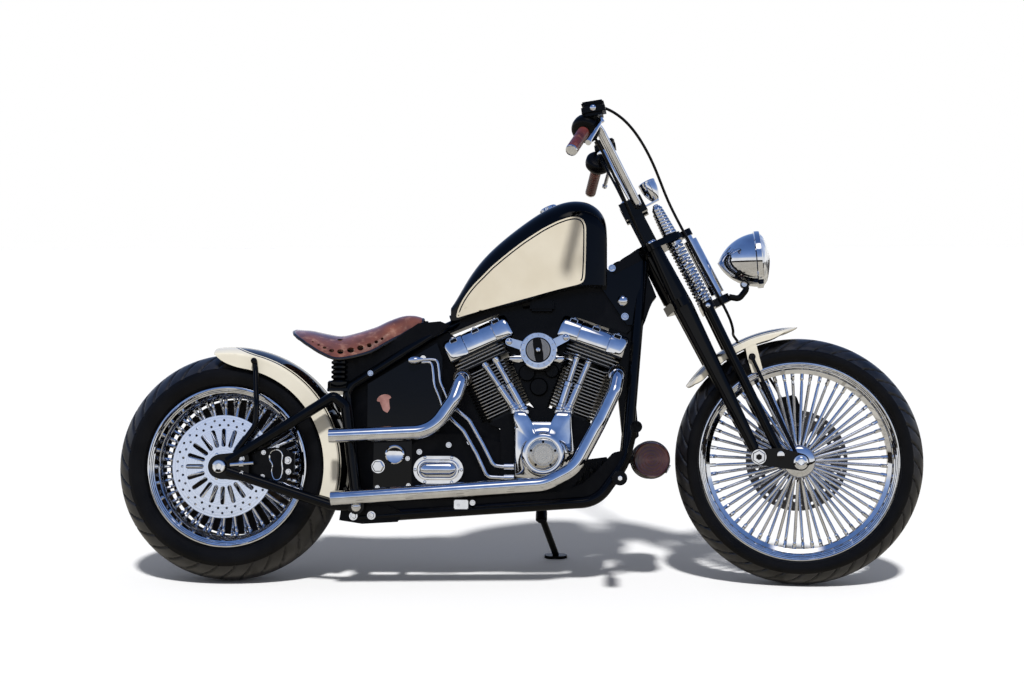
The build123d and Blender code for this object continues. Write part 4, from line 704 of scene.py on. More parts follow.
fastened("frame_bolts", "frame", bike, "hexagon", both_sides([
    ((375, -121, 190), RIGHT, 9), ((426, -120.6, 192), RIGHT, 9),
    ((1107, -46, 905), RIGHT, 8), ((1144, -46, 764), RIGHT, 8), ((415, -97, 596), RIGHT, 6),
    ((1085, -46, 880), RIGHT, 6),
]))
fastened("gusset_domes", "frame", bike, "dome", both_sides([((1138, -46, 809), RIGHT, 17)]))
fastened("axle_plate_bolts", "frame", bike, "hexagon", both_sides([
    ((62, -158, 350), RIGHT, 6), ((62, -158, 308), RIGHT, 6),
]))
fastened("swingarm_pivots", "frame", bike, "dome", both_sides([((388, -160, 218), RIGHT, 15)]))
fastened("strut_bolts", "frame", bike, "dome", both_sides([
    ((82, -117, 630), RIGHT, 9),
]), black_enamel)

# ---------------------------------------------------------------- rear caliper and brake line
# Cast caliper under dull black, with a raised bean-shaped rib on its cover, plated bolts and a
# plated brake line that leaves it below.


def coated(name, tint, dark_tint, low, high, grain_mm):
    """Dull coating over a casting: fine pebbled grain, worn smoother in patches."""
    return patchy(
        name, (tint, dark_tint), low, high, (25, 4.0), (grain_mm, 3.0, 0.3, 0.3),
        Specular_IOR_Level=0.13, IOR=1.5,
    )


dull_black = coated("dull_black_coating", "#070708", "#030304", 0.22, 0.36, 1.5)
painted(dull_black, "rear_caliper")


def tube(bm, points, radius, sides=12, closed=False, finish=0):
    """Round bar along points, closed at its ends."""
    points = [Vector(point) for point in points]
    side = None
    rings = []
    for index, point in enumerate(points):
        before = points[index - 1] if index or closed else point
        after = points[(index + 1) % len(points)] if index + 1 < len(points) or closed else point
        along = (after - before).normalized()
        side = side or along.orthogonal()
        side = (side - along * side.dot(along)).normalized()
        rings.append([
            bm.verts.new(point + side * x + along.cross(side) * y) for x, y in circle(sides, radius)
        ])
    joined(bm, rings + rings[:1] if closed else rings, caps=not closed, finish=finish)


def blended(a, b, c, d, t):
    """Value at a share of the way from b to c on a smooth line through all four."""
    return 0.5 * (
        2 * b + (c - a) * t + (2 * a - 5 * b + 4 * c - d) * t * t + (3 * b - a - 3 * c + d) * t**3
    )


def eased(points, steps=8):
    """Smooth line through the given points."""
    points = [Vector(point) for point in points]
    ends = [points[0] * 2 - points[1], *points, points[-1] * 2 - points[-2]]
    line = []
    for a, b, c, d in zip(ends, ends[1:], ends[2:], ends[3:]):
        line += [blended(a, b, c, d, step / steps) for step in range(steps)]
    return line + [points[-1]]


def slab(bm, place, middle, size, finish=0, chamfer=1.0):
    """Flat block with its edges eased, about a point in a frame."""
    made = bmesh.ops.create_cube(bm, size=1.0)
    for vert in made["verts"]:
        vert.co = place @ (Vector(middle) + Vector(a * b for a, b in zip(vert.co, size)))
    faces = {face for vert in made["verts"] for face in vert.link_faces}
    for face in faces:
        face.material_index = finish
    edges = list({edge for face in faces for edge in face.edges})
    bmesh.ops.bevel(bm, geom=edges, offset=chamfer, segments=2, affect="EDGES")


COVER_Y = -132.6
BEAN = (
    (150, 376), (139, 369), (136, 350), (144, 334), (142, 314), (150, 293), (166, 294),
    (173, 316), (171, 340), (172, 362), (163, 374),
)
bm = bmesh.new()
tube(bm, eased([(x, COVER_Y, z) for x, z in (*BEAN, BEAN[0])], 5)[:-1], 2.4, 8, closed=True)
tube(bm, eased([
    (176, -126, 282), (196, -128, 272), (226, -130, 262), (262, -134, 240), (300, -140, 226),
]), 4, 12)
turned(bm, (30, -159, 333), (1, 0, 0.08), [
    (0, 0), (6, 0), (6, 26), (9.5, 26), (9.5, 38), (5, 38), (5, 66), (0, 66),
], 20)
turned(bm, (0, -170.5, 328), RIGHT, [
    (0, 0), (17, 0), (18, 2), (16, 4), (9, 4.4), (7, 2), (0, 2),
], 40)
built(bm, "rear_caliper_trim", bike, "frame", chrome)
bm = bmesh.new()
slab(bm, Matrix.Identity(4), (156, -131, 334), (52, 6, 96), chamfer=2.5)
slab(bm, Matrix.Identity(4), (190, -120, 338), (30, 24, 62), chamfer=4)
turned(bm, (112, -130, 384), (1, 0, 0.55), [
    (0, -14), (7, -14), (9, -8), (9, 26), (6, 30), (0, 30),
], 18)
built(bm, "rear_caliper_cover", bike, "frame", dull_black)
fastened("rear_caliper_bolts", "frame", bike, "hexagon", [
    ((188, -132, 346), RIGHT, 8), ((190, -132, 314), RIGHT, 6), ((158, -134, 386), RIGHT, 4),
    ((118, -131, 368), RIGHT, 5), ((116, -131, 300), RIGHT, 5),
])

# ---------------------------------------------------------------- rear fender
# Pressed steel in cream enamel. A black stripe runs over its crown and ends in a half circle,
# with a cream gap and a thin black line round it.
BLACK_CODE, CREAM_CODE = "#040406", "#E9E3D3"


def striped(name, place, stripe, gap, line, ends, crown_r=350.0):
    """Cream enamel with a crown stripe that ends in half circles at two angles."""
    made, tree, where = surface(name)
    local = add(tree, "ShaderNodeMapping", Vector=where, **undone(place))
    split = add(tree, "ShaderNodeSeparateXYZ", _0=local)
    angle = add(
        tree, "ShaderNodeMath", operation="ARCTAN2", _0=split.outputs["Z"], _1=split.outputs["X"]
    )
    beyond = add(tree, "ShaderNodeMath", operation="SUBTRACT", _0=angle, _1=math.radians(ends[1]))
    before = add(tree, "ShaderNodeMath", operation="SUBTRACT", _0=math.radians(ends[0]), _1=angle)
    over = add(tree, "ShaderNodeMath", operation="MAXIMUM", _0=beyond, _1=before)
    over = add(tree, "ShaderNodeMath", operation="MAXIMUM", _0=over, _1=0.0)
    along = add(tree, "ShaderNodeMath", operation="MULTIPLY", _0=over, _1=crown_r * MM)
    flat = add(tree, "ShaderNodeCombineXYZ", X=along, Y=split.outputs["Y"])
    away = add(tree, "ShaderNodeVectorMath", operation="LENGTH", _0=flat)
    ramp_mm = 200
    scaled = add(
        tree, "ShaderNodeMath", operation="MULTIPLY", _0=away.outputs["Value"], _1=1000 / ramp_mm
    )
    bands = add(tree, "ShaderNodeValToRGB", (
        (0.0, BLACK_CODE), (stripe / ramp_mm, CREAM_CODE),
        ((stripe + gap) / ramp_mm, BLACK_CODE), ((stripe + gap + line) / ramp_mm, CREAM_CODE),
    ), Fac=scaled)
    bands.color_ramp.interpolation = "CONSTANT"
    patches = add(tree, "ShaderNodeTexNoise", Vector=where, Scale=1000 / 90, Detail=3.0)
    tone = add(tree, "ShaderNodeValToRGB", ((0.3, "#FFFFFF"), (0.7, "#F6F4F0")), Fac=patches)
    peel = add(tree, "ShaderNodeTexNoise", Vector=where, Scale=1000 / 12, Detail=2.0)
    add(tree, "ShaderNodeOutputMaterial", Surface=add(
        tree, "ShaderNodeBsdfPrincipled", IOR=1.5,
        Base_Color=add(
            tree, "ShaderNodeMixRGB", blend_type="MULTIPLY", _0=1.0, _1=bands, _2=tone
        ),
        Roughness=add(tree, "ShaderNodeMapRange", Value=patches, To_Min=0.03, To_Max=0.07),
        Normal=add(tree, "ShaderNodeBump", Height=peel, Strength=0.08, Distance=0.0004),
    ))
    return made


FENDER_WALL = 3.0


def fender(name, node, place, body, finish, crown_r, half, drop, depth, angles, ends):
    """Pressed fender: a crown and two walls, trimmed round at both ends."""
    first, last = (math.radians(angle) for angle in angles)
    crown = arc((crown_r - drop, -half), (crown_r, 0), (crown_r - drop, half), 40)
    line = [(crown_r - depth, -half)] + crown + [(crown_r - depth, half)]
    runs = [0.0]
    for a, b in zip(line, line[1:]):
        runs.append(runs[-1] + math.dist(a, b))
    whole = runs[-1]

    def on_section(run):
        for i in range(len(line) - 1):
            if run <= runs[i + 1] or i == len(line) - 2:
                t = (run - runs[i]) / (runs[i + 1] - runs[i])
                return [a + (b - a) * t for a, b in zip(line[i], line[i + 1])]

    bm = bmesh.new()
    steps, across = 110, 72
    grid = []
    for i in range(steps + 1):
        # Stations crowd towards the trimmed ends.
        share = 0.5 - 0.5 * math.cos(math.pi * i / steps)
        turn = first + (last - first) * share
        from_ends = (math.degrees(turn - first), math.degrees(last - turn))
        kept = 1.0
        for away, (least, reach) in zip(from_ends, ends):
            if away < reach:
                kept = min(kept, least + (1 - least) * math.sqrt(1 - (1 - away / reach) ** 2))
        row = []
        for j in range(across + 1):
            r, y = on_section(whole * (0.5 + (j / across - 0.5) * kept))
            row.append(bm.verts.new((r * math.cos(turn), y, r * math.sin(turn))))
        grid.append(row)
    joined(bm, grid, closed=False)
    bmesh.ops.recalc_face_normals(bm, faces=bm.faces)
    if sum(face.normal.dot(face.calc_center_median()) for face in bm.faces) < 0:
        bmesh.ops.reverse_faces(bm, faces=bm.faces)
    bm.transform(place @ Matrix.Scale(MM, 4))
    piece = meshed(bm, name, finish)
    wall = piece.modifiers.new("sheet", "SOLIDIFY")
    wall.thickness, wall.offset = FENDER_WALL * MM, -1.0
    softened(piece, 40)
    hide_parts(node)
    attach(piece, body)


fender(
    "pressed_rear_fender", "rear_fender", rear_wheel, "frame",
    striped("rear_fender_enamel", rear_wheel, 83, 5, 5, (-60, 74)),
    350, 101, 26, 65, (-16, 97), ((1.0, 1), (0.62, 17)),
)

# ---------------------------------------------------------------- crankcase and cylinders
# Black-coated castings. The edges of the fins are milled back to bare metal, so they draw a row
# of bright lines on the black.
crankcase_black = coated("crankcase_coating", "#050506", "#020203", 0.35, 0.5, 2.5)
painted(crankcase_black, "crankcase", "gearbox")
# Top of each head on the bike, and how far its cylinder leans back.
HEADS = ((722, 660, 25.0, 15), (1056, 665, -20.0, -17))


def head_place(x, z, lean_back):
    """Frame of a head: Z up its cylinder, X forward along it."""
    lean = math.radians(lean_back)
    return bike @ set_at(
        Vector((x, 0, z)) * MM, Vector((math.cos(lean), 0, math.sin(lean))),
        Vector((0, 1, 0)), Vector((-math.sin(lean), 0, math.cos(lean))),
    )


fins, tree, where = surface("finned_cylinders")
on_bike = add(tree, "ShaderNodeMapping", Vector=where, **undone(bike))
bike_split = add(tree, "ShaderNodeSeparateXYZ", _0=on_bike)
BETWEEN_CYLINDERS = 0.905
is_front = add(
    tree, "ShaderNodeMath", operation="GREATER_THAN", _0=bike_split.outputs["X"],
    _1=BETWEEN_CYLINDERS,
)
turned_in = [
    add(tree, "ShaderNodeMapping", Vector=where, **undone(head_place(*head[:3])))
    for head in HEADS
]
local = add(tree, "ShaderNodeMixRGB", _0=is_front, _1=turned_in[0], _2=turned_in[1])
local = add(tree, "ShaderNodeSeparateXYZ", _0=local)
reaches = [
    add(tree, "ShaderNodeMath", operation="ABSOLUTE", _0=local.outputs[axis]) for axis in "XY"
]
reach = add(tree, "ShaderNodeMath", operation="MAXIMUM", _0=reaches[0], _1=reaches[1])
FIN_REACH = 0.0738
edge = add(tree, "ShaderNodeMath", operation="GREATER_THAN", _0=reach, _1=FIN_REACH)
# Only a lip of each fin's edge is bare: its middle and height are shares of the fins' pitch.
FIN_PITCH, LIP_AT, LIP_HIGH = 0.0096, 0.62, 0.30
pitches = add(tree, "ShaderNodeMath", operation="DIVIDE", _0=local.outputs["Z"], _1=FIN_PITCH)
within = add(tree, "ShaderNodeMath", operation="FRACT", _0=pitches)
offset = add(tree, "ShaderNodeMath", operation="SUBTRACT", _0=within, _1=LIP_AT)
offset = add(tree, "ShaderNodeMath", operation="ABSOLUTE", _0=offset)
lip = add(tree, "ShaderNodeMath", operation="LESS_THAN", _0=offset, _1=LIP_HIGH / 2)
milled = add(tree, "ShaderNodeMath", operation="MULTIPLY", _0=edge, _1=lip)
wear = add(tree, "ShaderNodeTexNoise", Vector=where, Scale=1000 / 8, Detail=4.0)
add(tree, "ShaderNodeOutputMaterial", Surface=add(
    tree, "ShaderNodeBsdfPrincipled", Metallic=milled, Specular_IOR_Level=0.25, IOR=1.5,
    Base_Color=add(
        tree, "ShaderNodeMixRGB", _0=milled, _1=linear("#040405"), _2=linear("#A59E92")
    ),
    Roughness=add(tree, "ShaderNodeMapRange", Value=wear, To_Min=0.22, To_Max=0.5),
    Normal=add(tree, "ShaderNodeBump", Height=wear, Strength=0.25, Distance=0.0003),
))
painted(fins, "cylinders")

# ---------------------------------------------------------------- rocker boxes
# Plated castings on the heads, rounded over their lids. Grooves part each into three lengths,
# black pockets in the shoulders hold the bolts, and a thin dark gasket lies under it.
seam_black = coated("seam_black", "#060606", "#030303", 0.5, 0.7, 1.0)
BOX_HALF, BOX_MID_Y, BOX_HALF_Y = 100.0, -12.0, 86.0
# Half of a box's outline on its end, from the gasket up to the middle of the lid.
BOX_SIDE = (
    (79, 3.4), (83, 5), (84, 9), (84.5, 20), (84, 32), (82, 43), (78, 53), (71, 61), (60, 66.5),
    (44, 68.6), (20, 69),
)
# Stations along a box and how far each stands in: proud end thirds, a recessed middle.
BOX_STATIONS = (
    (-100, 9), (-99, 5.5), (-96, 2.2), (-91, 0.6), (-86, 0), (-42, 0), (-40.5, 1.2),
    (-40, 3), (-39, 3), (-38.5, 1.6), (-36, 1.4), (44, 1.4), (46.5, 1.6), (47, 3), (48, 3),
    (48.5, 1.2), (50, 0), (86, 0), (91, 0.6), (96, 2.2), (99, 5.5), (100, 9),
)
bm = bmesh.new()
seam_bolts = []
to_bike_mm = Matrix.Scale(1000, 4) @ bike.inverted()
for x, z, lean_back, forward in HEADS:
    place = to_bike_mm @ head_place(x, z, lean_back) @ Matrix.Scale(MM, 4)
    rings = []
    for station, inset in BOX_STATIONS:
        ring = []
        for y, up in BOX_SIDE + tuple((-y, up) for y, up in reversed(BOX_SIDE)):
            shrink = 1 - inset / BOX_HALF_Y
            ring.append(bm.verts.new(place @ Vector((
                forward + station, BOX_MID_Y + y * shrink, max(3.4, up - inset * (up > 30))
            ))))
        rings.append(ring)
    joined(bm, rings, caps=True)
    for side in (-1, 1):
        for share in (-0.66, 0.02, 0.66):
            middle = (forward + share * BOX_HALF, BOX_MID_Y + side * 71, 57)
            slab(bm, place, middle, (22, 17, 12), 1, 1.5)
            spot = place @ Vector((middle[0], middle[1] + side * 1.5, 63.4))
            way = (place.to_3x3() @ Vector((0, side * 0.5, 1))).normalized()
            seam_bolts.append((spot, way, 4.8))
    slab(bm, place, (forward, BOX_MID_Y, 2.6), (2 * BOX_HALF - 14, 2 * BOX_HALF_Y - 8, 1.8), 1, 0.5)
built(bm, "rocker_box_covers", bike, "frame", (chrome, seam_black), ("rocker_boxes",), 38)
fastened("rocker_box_bolts", "frame", bike, "hexagon", seam_bolts)

# ---------------------------------------------------------------- pushrods and cam cover
# Plated telescopic tubes run from lifter blocks on the cam cover to the heads. The cover is
# plated too, with a lathe-faced round lid held by five screws.
painted(chrome, "pushrod_tubes")
RODS = (
    ((832, 490), (739, 627)), ((856, 490), (770, 643)), ((956, 490), (1009, 653)),
    ((980, 488), (1043, 639)),
)
ROD_Y = -88.0
bm = bmesh.new()
for (low_x, low_z), (top_x, top_z) in RODS:
    low, top = Vector((low_x, ROD_Y, low_z)), Vector((top_x, ROD_Y, top_z))
    run = (top - low).length
    turned(bm, low, top - low, [
        (0, 2), (15, 2), (15, 9), (13, 12), (13, 20), (11.6, 22), (11.6, run * 0.42),
        (13.4, run * 0.43), (13.4, run * 0.5), (9.6, run * 0.52), (9.2, run * 0.9),
        (11.4, run * 0.92), (11.4, run - 3), (0, run - 3),
    ], 24)
built(bm, "pushrod_collars", bike, "frame", chrome)
LID_AT = (911, 365)
# Outline of the cover's edge on the bike, with an ear under each pair of pushrods.
COVER_EDGE = (
    (828, 300), (828, 448), (822, 470), (826, 489), (866, 489), (872, 462), (940, 462),
    (944, 489), (992, 487), (994, 446), (1000, 372), (974, 322), (930, 296), (880, 292),
)


def edge_reach(turn):
    """Distance from the lid's centre to the cover's edge along a direction."""
    way = Vector((math.cos(turn), math.sin(turn)))
    far = 0.0
    for (ax, az), (bx, bz) in zip(COVER_EDGE, COVER_EDGE[1:] + COVER_EDGE[:1]):
        a, b = Vector((ax - LID_AT[0], az - LID_AT[1])), Vector((bx - LID_AT[0], bz - LID_AT[1]))
        side = b - a
        cross = way.x * side.y - way.y * side.x
        if abs(cross) > 1e-9:
            run = (a.x * side.y - a.y * side.x) / cross
            share = (a.x * way.y - a.y * way.x) / cross
            if run > 0 and 0 <= share <= 1:
                far = max(far, run)
    return far


COVER_STEPS = 240
turns = [2 * math.pi * i / COVER_STEPS for i in range(COVER_STEPS)]
edges = [edge_reach(turn) for turn in turns]
for _ in range(3):
    edges = [
        min(edges[i], (edges[i - 1] + edges[i] * 2 + edges[(i + 1) % COVER_STEPS]) / 4)
        for i in range(COVER_STEPS)
    ]
bm = bmesh.new()
rings = []
NOSE_R = 58.0
# Share of the way from the nose to the edge, and depth of the skin there.
for share, y in (
    (1.0, -80.5), (1.0, -100), (0.985, -104), (0.95, -108), (0.89, -111), (0.78, -113.4),
    (0.6, -115.2), (0.42, -117), (0.26, -119.4), (0.13, -122.6), (0.04, -126), (0.0, -128),
):
    rings.append([
        bm.verts.new((
            LID_AT[0] + (NOSE_R + (edge - NOSE_R) * share) * math.cos(turn), y,
            LID_AT[1] + (NOSE_R + (edge - NOSE_R) * share) * math.sin(turn),
        )) for turn, edge in zip(turns, edges)
    ])
for radius, y in ((55, -129.4), (51, -130), (46, -129.6), (45, -128)):
    rings.append([
        bm.verts.new((LID_AT[0] + x, y, LID_AT[1] + z)) for x, z in circle(COVER_STEPS, radius)
    ])
joined(bm, rings, caps=True)
for (low_x, low_z), _ in RODS:
    turned(bm, (low_x, ROD_Y, low_z - 8), (0, 0, 1), [
        (0, 0), (17, 0), (17, 9), (15, 11), (0, 11),
    ], 28)
built(bm, "rounded_cam_cover", bike, "frame", chrome, ("cam_cover",), 36)
# Near-black coating: painted shade behind the air cleaner's lobes; the dial's print and needle.
shade_and_print_black = coated("painted_lid_shade_and_dial_print", "#0A0A0C", "#050506", 0.4, 0.6, 1.0)
lid_place = bike @ Matrix.Translation(Vector((LID_AT[0], 0, LID_AT[1])) * MM)
lid_alloy = ground("faced_lid", lid_place, "#D8D3C8", "#B4ADA0", 0.16, 0.34, 1.6)
bm = bmesh.new()
lid_at = (LID_AT[0], -134, LID_AT[1])
turned(bm, lid_at, RIGHT, [
    (0, 0), (42, 0), (43.5, 1), (43.5, 3), (41.5, 4.2), (30, 4.2), (29, 3.4), (27.5, 3.4),
    (26.5, 4.4), (0, 4.4),
], 72)
built(bm, "cam_lid", bike, "frame", (lid_alloy, chrome))
fastened("cam_lid_screws", "frame", bike, "button", [
    ((LID_AT[0] + x, -138, LID_AT[1] + z), RIGHT, 3.6) for z, x in circle(5, 35.5)
], crankcase_black)
fastened("cam_cover_bolts", "frame", bike, "button", [
    ((x, -108, z), RIGHT, 5)
    for x, z in (
        (838, 310), (838, 380), (834, 440), (836, 478), (982, 476), (984, 430), (988, 386),
        (964, 330), (926, 304), (882, 300),
    )
])

# ---------------------------------------------------------------- air cleaner
# Round plated body with a ring of small screws, a two-lobed brushed plate round its centre bolt,
# and two arms to the heads.
painted(chrome, "air_cleaner")
AIR_AT = (897, 658)
air_place = bike @ Matrix.Translation(Vector((AIR_AT[0], 0, AIR_AT[1])) * MM)
air_alloy = ground("brushed_lobes", air_place, "#A9A39A", "#807A72", 0.24, 0.4, 1.8)
bm = bmesh.new()
# A near-black disc under the lobes and a collar round the centre bolt: painted shade.
turned(bm, (AIR_AT[0], -157.8, AIR_AT[1]), RIGHT, [(0, 0), (36, 0), (36, 1.0), (0, 1.0)], 64, 1)
for start in (-62, 118):
    lobe = []
    for i in range(19):
        turn = math.radians(start + i * 140 / 18)
        lobe.append((33 * math.cos(turn), 33 * math.sin(turn)))
    for i in range(1, 12):
        turn = math.radians(start + 140 - i * 140 / 12)
        reach = 33 - 21 * math.sin(math.pi * i / 12) ** 0.6
        lobe.append((reach * math.cos(turn), reach * math.sin(turn)))
    rings = []
    for high, shrink in ((1.0, 0), (2.6, 0), (3.2, 0.6)):
        rings.append([
            bm.verts.new((
                AIR_AT[0] + x * (1 - shrink / 33), -157.8 - high, AIR_AT[1] + y * (1 - shrink / 33)
            )) for x, y in lobe
        ])
    joined(bm, rings, caps=True)
turned(bm, (AIR_AT[0], -158, AIR_AT[1]), RIGHT, [
    (0, 0), (10, 0), (10, 4), (8, 6), (0, 6),
], 28, 1)
turned(bm, (AIR_AT[0], -118, AIR_AT[1]), RIGHT, [
    (48, 0), (52, 0), (52.5, 2), (52.5, 8), (50.5, 10), (48, 10), (48, 0),
], 72, 2)
built(bm, "air_cleaner_plate", bike, "frame", (air_alloy, shade_and_print_black, chrome))
fastened("air_cleaner_screws", "frame", bike, "button", [
    *around(43.5, -152, 16, RIGHT, 2.6, AIR_AT), ((AIR_AT[0], -163.5, AIR_AT[1]), RIGHT, 6.0),
])
fastened("air_cleaner_arm_bolts", "frame", bike, "dome", [
    ((814, -126, 684), RIGHT, 9), ((974, -126, 696), RIGHT, 9),
])

# ---------------------------------------------------------------- gearbox and primary covers
# Plated covers: a long oval lid on the gearbox's right side, and on the left the primary drive's
# cover with its clutch lid. Screws hold their rims.
painted(chrome, "gearbox_cover")
# Plated outside, bare black casting inside, where it faces the engine.
PLATED_FROM = 0.1345
plated_outside, tree, where = surface("plated_primary_cover")
on_bike = add(tree, "ShaderNodeMapping", Vector=where, **undone(bike))
outside = add(
    tree, "ShaderNodeMath", operation="GREATER_THAN",
    _0=add(tree, "ShaderNodeSeparateXYZ", _0=on_bike).outputs["Y"], _1=PLATED_FROM,
)
haze = add(tree, "ShaderNodeTexNoise", Vector=where, Scale=1000 / 30, Detail=4.0)
ripple = add(tree, "ShaderNodeTexNoise", Vector=where, Scale=1000 / 30, Detail=1.0)
tone = add(tree, "ShaderNodeValToRGB", ((0.3, "#DFE1E5"), (0.7, "#CBCDD2")), Fac=haze)
add(tree, "ShaderNodeOutputMaterial", Surface=add(
    tree, "ShaderNodeBsdfPrincipled", Metallic=outside, Specular_IOR_Level=0.2,
    Base_Color=add(
        tree, "ShaderNodeMixRGB", _0=outside, _1=linear("#060607"), _2=tone
    ),
    Roughness=add(tree, "ShaderNodeMapRange", Value=haze, To_Min=0.015, To_Max=0.05),
    Normal=add(tree, "ShaderNodeBump", Height=ripple, Strength=0.25, Distance=0.0004),
))
painted(plated_outside, "primary_cover")
COVER_AT = (614, 321)


def oval(half_length, radius, count=16):
    """Outline of a stadium shape about the origin."""
    straight = half_length - radius
    points = []
    for side in (1, -1):
        for i in range(count + 1):
            turn = math.radians(-90 + 180 * i / count)
            points.append((
                side * (straight + radius * math.cos(turn)), side * radius * math.sin(turn)
            ))
    return points


bm = bmesh.new()
rings = []
for half_length, radius, y in (
    (60, 29, -128), (60, 29, -129.5), (57.5, 26.5, -131.5), (54, 23, -131.5), (52.5, 21.5, -129.5),
    (51, 20, -132), (48, 17, -134.6), (44.5, 13, -136.8), (41, 8.5, -138.2), (38, 4, -139),
    (36.5, 1.2, -139.2),
):
    rings.append([
        bm.verts.new((COVER_AT[0] + x, y, COVER_AT[1] + z)) for x, z in oval(half_length, radius)
    ])
joined(bm, rings, caps=True)
built(bm, "gearbox_lid_rim", bike, "frame", chrome)
fastened("gearbox_screws", "frame", bike, "button", [
    ((COVER_AT[0] + x, -116.3, COVER_AT[1] + z), RIGHT, 4.4)
    for x, z in ((-65.5, 0), (65.5, 0), (-38, 34.5), (38, 34.5), (-38, -34.5), (38, -34.5))
])
fastened("gearbox_case_bolts", "frame", bike, "hexagon", [
    ((x, -80, z), RIGHT, 6) for x, z in ((556, 372), (640, 392), (700, 400), (560, 266), (700, 270))
])
CLUTCH, CRANK = (640, 330), (905, 345)
fastened(
    "clutch_lid_screws", "frame", bike, "button", around(64, 192, 6, LEFT, 4.5, CLUTCH)
)
fastened("primary_screws", "frame", bike, "button", [
    ((at[0] + reach * math.cos(turn), 185.6, at[1] + reach * math.sin(turn)), LEFT, 5)
    for at, reach, angles in ((CLUTCH, 90, range(70, 271, 40)), (CRANK, 72, range(-80, 81, 40)))
    for turn in map(math.radians, angles)
])

# ---------------------------------------------------------------- oil tank and battery box
# Black enamelled tank under the seat rail, with a plain copper plate on its side, a plated oil
# filler, a plated round cap and a hexagon plug on the box below it.
painted(black_enamel, "oil_tank")
copper = coated("plain_copper_plate", "#B98D86", "#8E655F", 0.3, 0.5, 2.0)
bm = bmesh.new()
plate_place = Matrix.Translation((456, -84, 512)) @ Matrix.Rotation(math.radians(-14), 4, "Y")
plate_place = plate_place @ Matrix.Rotation(math.radians(90), 4, "X")
CREST = arc((-19, 16), (0, 24), (19, 16), 10) + [
    (21, 10), (14, 6), (12, -6), (10.5, -20), (4, -27), (0, -30), (-4, -27), (-10.5, -20),
    (-12, -6), (-14, 6), (-21, 10),
]
rings = [
    [bm.verts.new(plate_place @ Vector((x * grow, y * grow, up))) for x, y in CREST]
    for up, grow in ((0, 1), (1.4, 1), (2.0, 0.95), (1.6, 0.86), (2.4, 0.4))
]
joined(bm, rings, caps=True)
built(bm, "tank_plate", bike, "frame", copper)
bm = bmesh.new()
turned(bm, (487, -90, 364), RIGHT, [
    (0, 0), (26, 0), (27, 2), (27, 5), (24, 7), (20, 6), (0, 6.5),
], 48)
turned(bm, (439, -84, 330), RIGHT, [(0, 0), (19, 0), (19, 3), (0, 3)], 32)
turned(bm, (439, -87, 330), RIGHT, [(0, 0), (17, 0), (17, 8), (14.5, 10), (0, 10)], 6)
turned(bm, (548, -96, 634), (-1, 0, -0.1), [
    (0, -18), (5, -18), (7, -12), (10.5, -4), (12, 6), (11, 16), (7, 23), (0, 26),
], 28)
tube(bm, eased([
    (562, -96, 635), (590, -96, 636), (606, -97, 630), (612, -98, 604), (616, -99, 572),
    (630, -101, 540), (646, -102, 500),
]), 4, 12)
tube(bm, eased([
    (562, -92, 628), (584, -92, 628), (592, -93, 618), (596, -95, 592), (600, -97, 560),
    (614, -98, 526), (626, -99, 488),
]), 4, 12)
turned(bm, (566, -90, 640), (0, 1, 0.1), [(0, -8), (8, -8), (9, -6), (9, 10), (0, 10)], 24)
built(bm, "oil_fittings", bike, "frame", chrome)
fastened("battery_box_screws", "frame", bike, "hexagon", [
    ((432, -76, 425), RIGHT, 6), ((522, -76, 353), RIGHT, 5), ((525, -76, 276), RIGHT, 5),
    ((436, -76, 270), RIGHT, 5),
])

# ---------------------------------------------------------------- electrics, carburettor and trays
# Black pieces that fill the frame: the engine's top and front mounts, the web at the neck, coil
# and carburettor in the vee, trays under the saddle's nose, a wiring cover, skirts on the rails.
# Drawn as whole black masses, they also fill the dark gaps between those parts: partly painted
# shade.


def panel(bm, outline, y_from, y_to, chamfer=2.0):
    """Flat piece with eased edges from its outline on the bike."""
    made = []
    for y in (y_from, y_to):
        made.append([bm.verts.new((x, y, z)) for x, z in outline])
    faces = [bm.faces.new(made[0]), bm.faces.new(made[1][::-1])]
    for i in range(len(outline)):
        j = (i + 1) % len(outline)
        faces.append(bm.faces.new((made[0][j], made[0][i], made[1][i], made[1][j])))
    edges = list({edge for face in faces[:2] for edge in face.edges})
    bmesh.ops.bevel(bm, geom=edges, offset=chamfer, segments=2, affect="EDGES")


bm = bmesh.new()
panel(bm, [
    (612, 706), (700, 742), (800, 786), (880, 790), (968, 780), (1060, 744), (1150, 712),
    (1168, 730), (1150, 748), (1096, 884), (1062, 868), (1000, 852), (900, 826), (790, 797),
    (690, 771), (640, 758),
], -34, 34, 4)
panel(bm, [
    (869, 516), (792, 690), (776, 790), (840, 806), (960, 800), (1010, 786), (990, 686),
    (925, 505), (900, 478),
], -36, 26, 4)
panel(bm, [
    (1096, 742), (1122, 560), (1136, 420), (1160, 400), (1184, 420), (1172, 560), (1170, 742),
], -30, 30, 4)
panel(bm, [
    (1094, 893), (1099, 906), (1106, 916), (1114, 923), (1122, 927), (1140, 932), (1158, 943),
    (1172, 958), (1184, 966), (1196, 930), (1206, 900), (1226, 850), (1236, 824), (1226, 812),
    (1212, 790), (1203, 752), (1180, 700), (1120, 760), (1096, 850),
], -29, 29, 4)
for x, z, radius, y in ((862, 600, 24, -62), (934, 606, 20, -58), (896, 560, 26, -60)):
    turned(bm, (x, y, z), (0, 1, 0), [
        (0, 0), (radius - 3, 0), (radius, 3), (radius, 12), (radius - 6, 16), (radius - 6, 30),
        (0, 30),
    ], 32)
slab(bm, Matrix.Identity(4), (898, -60, 628), (64, 44, 46), chamfer=6)
slab(bm, Matrix.Identity(4), (905, -52, 795), (70, 40, 34), chamfer=6)
turned(bm, (848, -48, 800), (1, 0, 0.2), [(0, 0), (12, 0), (14, 4), (14, 30), (0, 34)], 24)
# These black masses are partly painted shade, filling the dark of the vee.
built(bm, "carburettor_and_coil", bike, "frame", dull_black)
TRAY = (
    (330, 566), (330, 640), (352, 652), (420, 660), (496, 706), (548, 742), (612, 748),
    (640, 736), (600, 706), (480, 630), (400, 580), (362, 560),
)
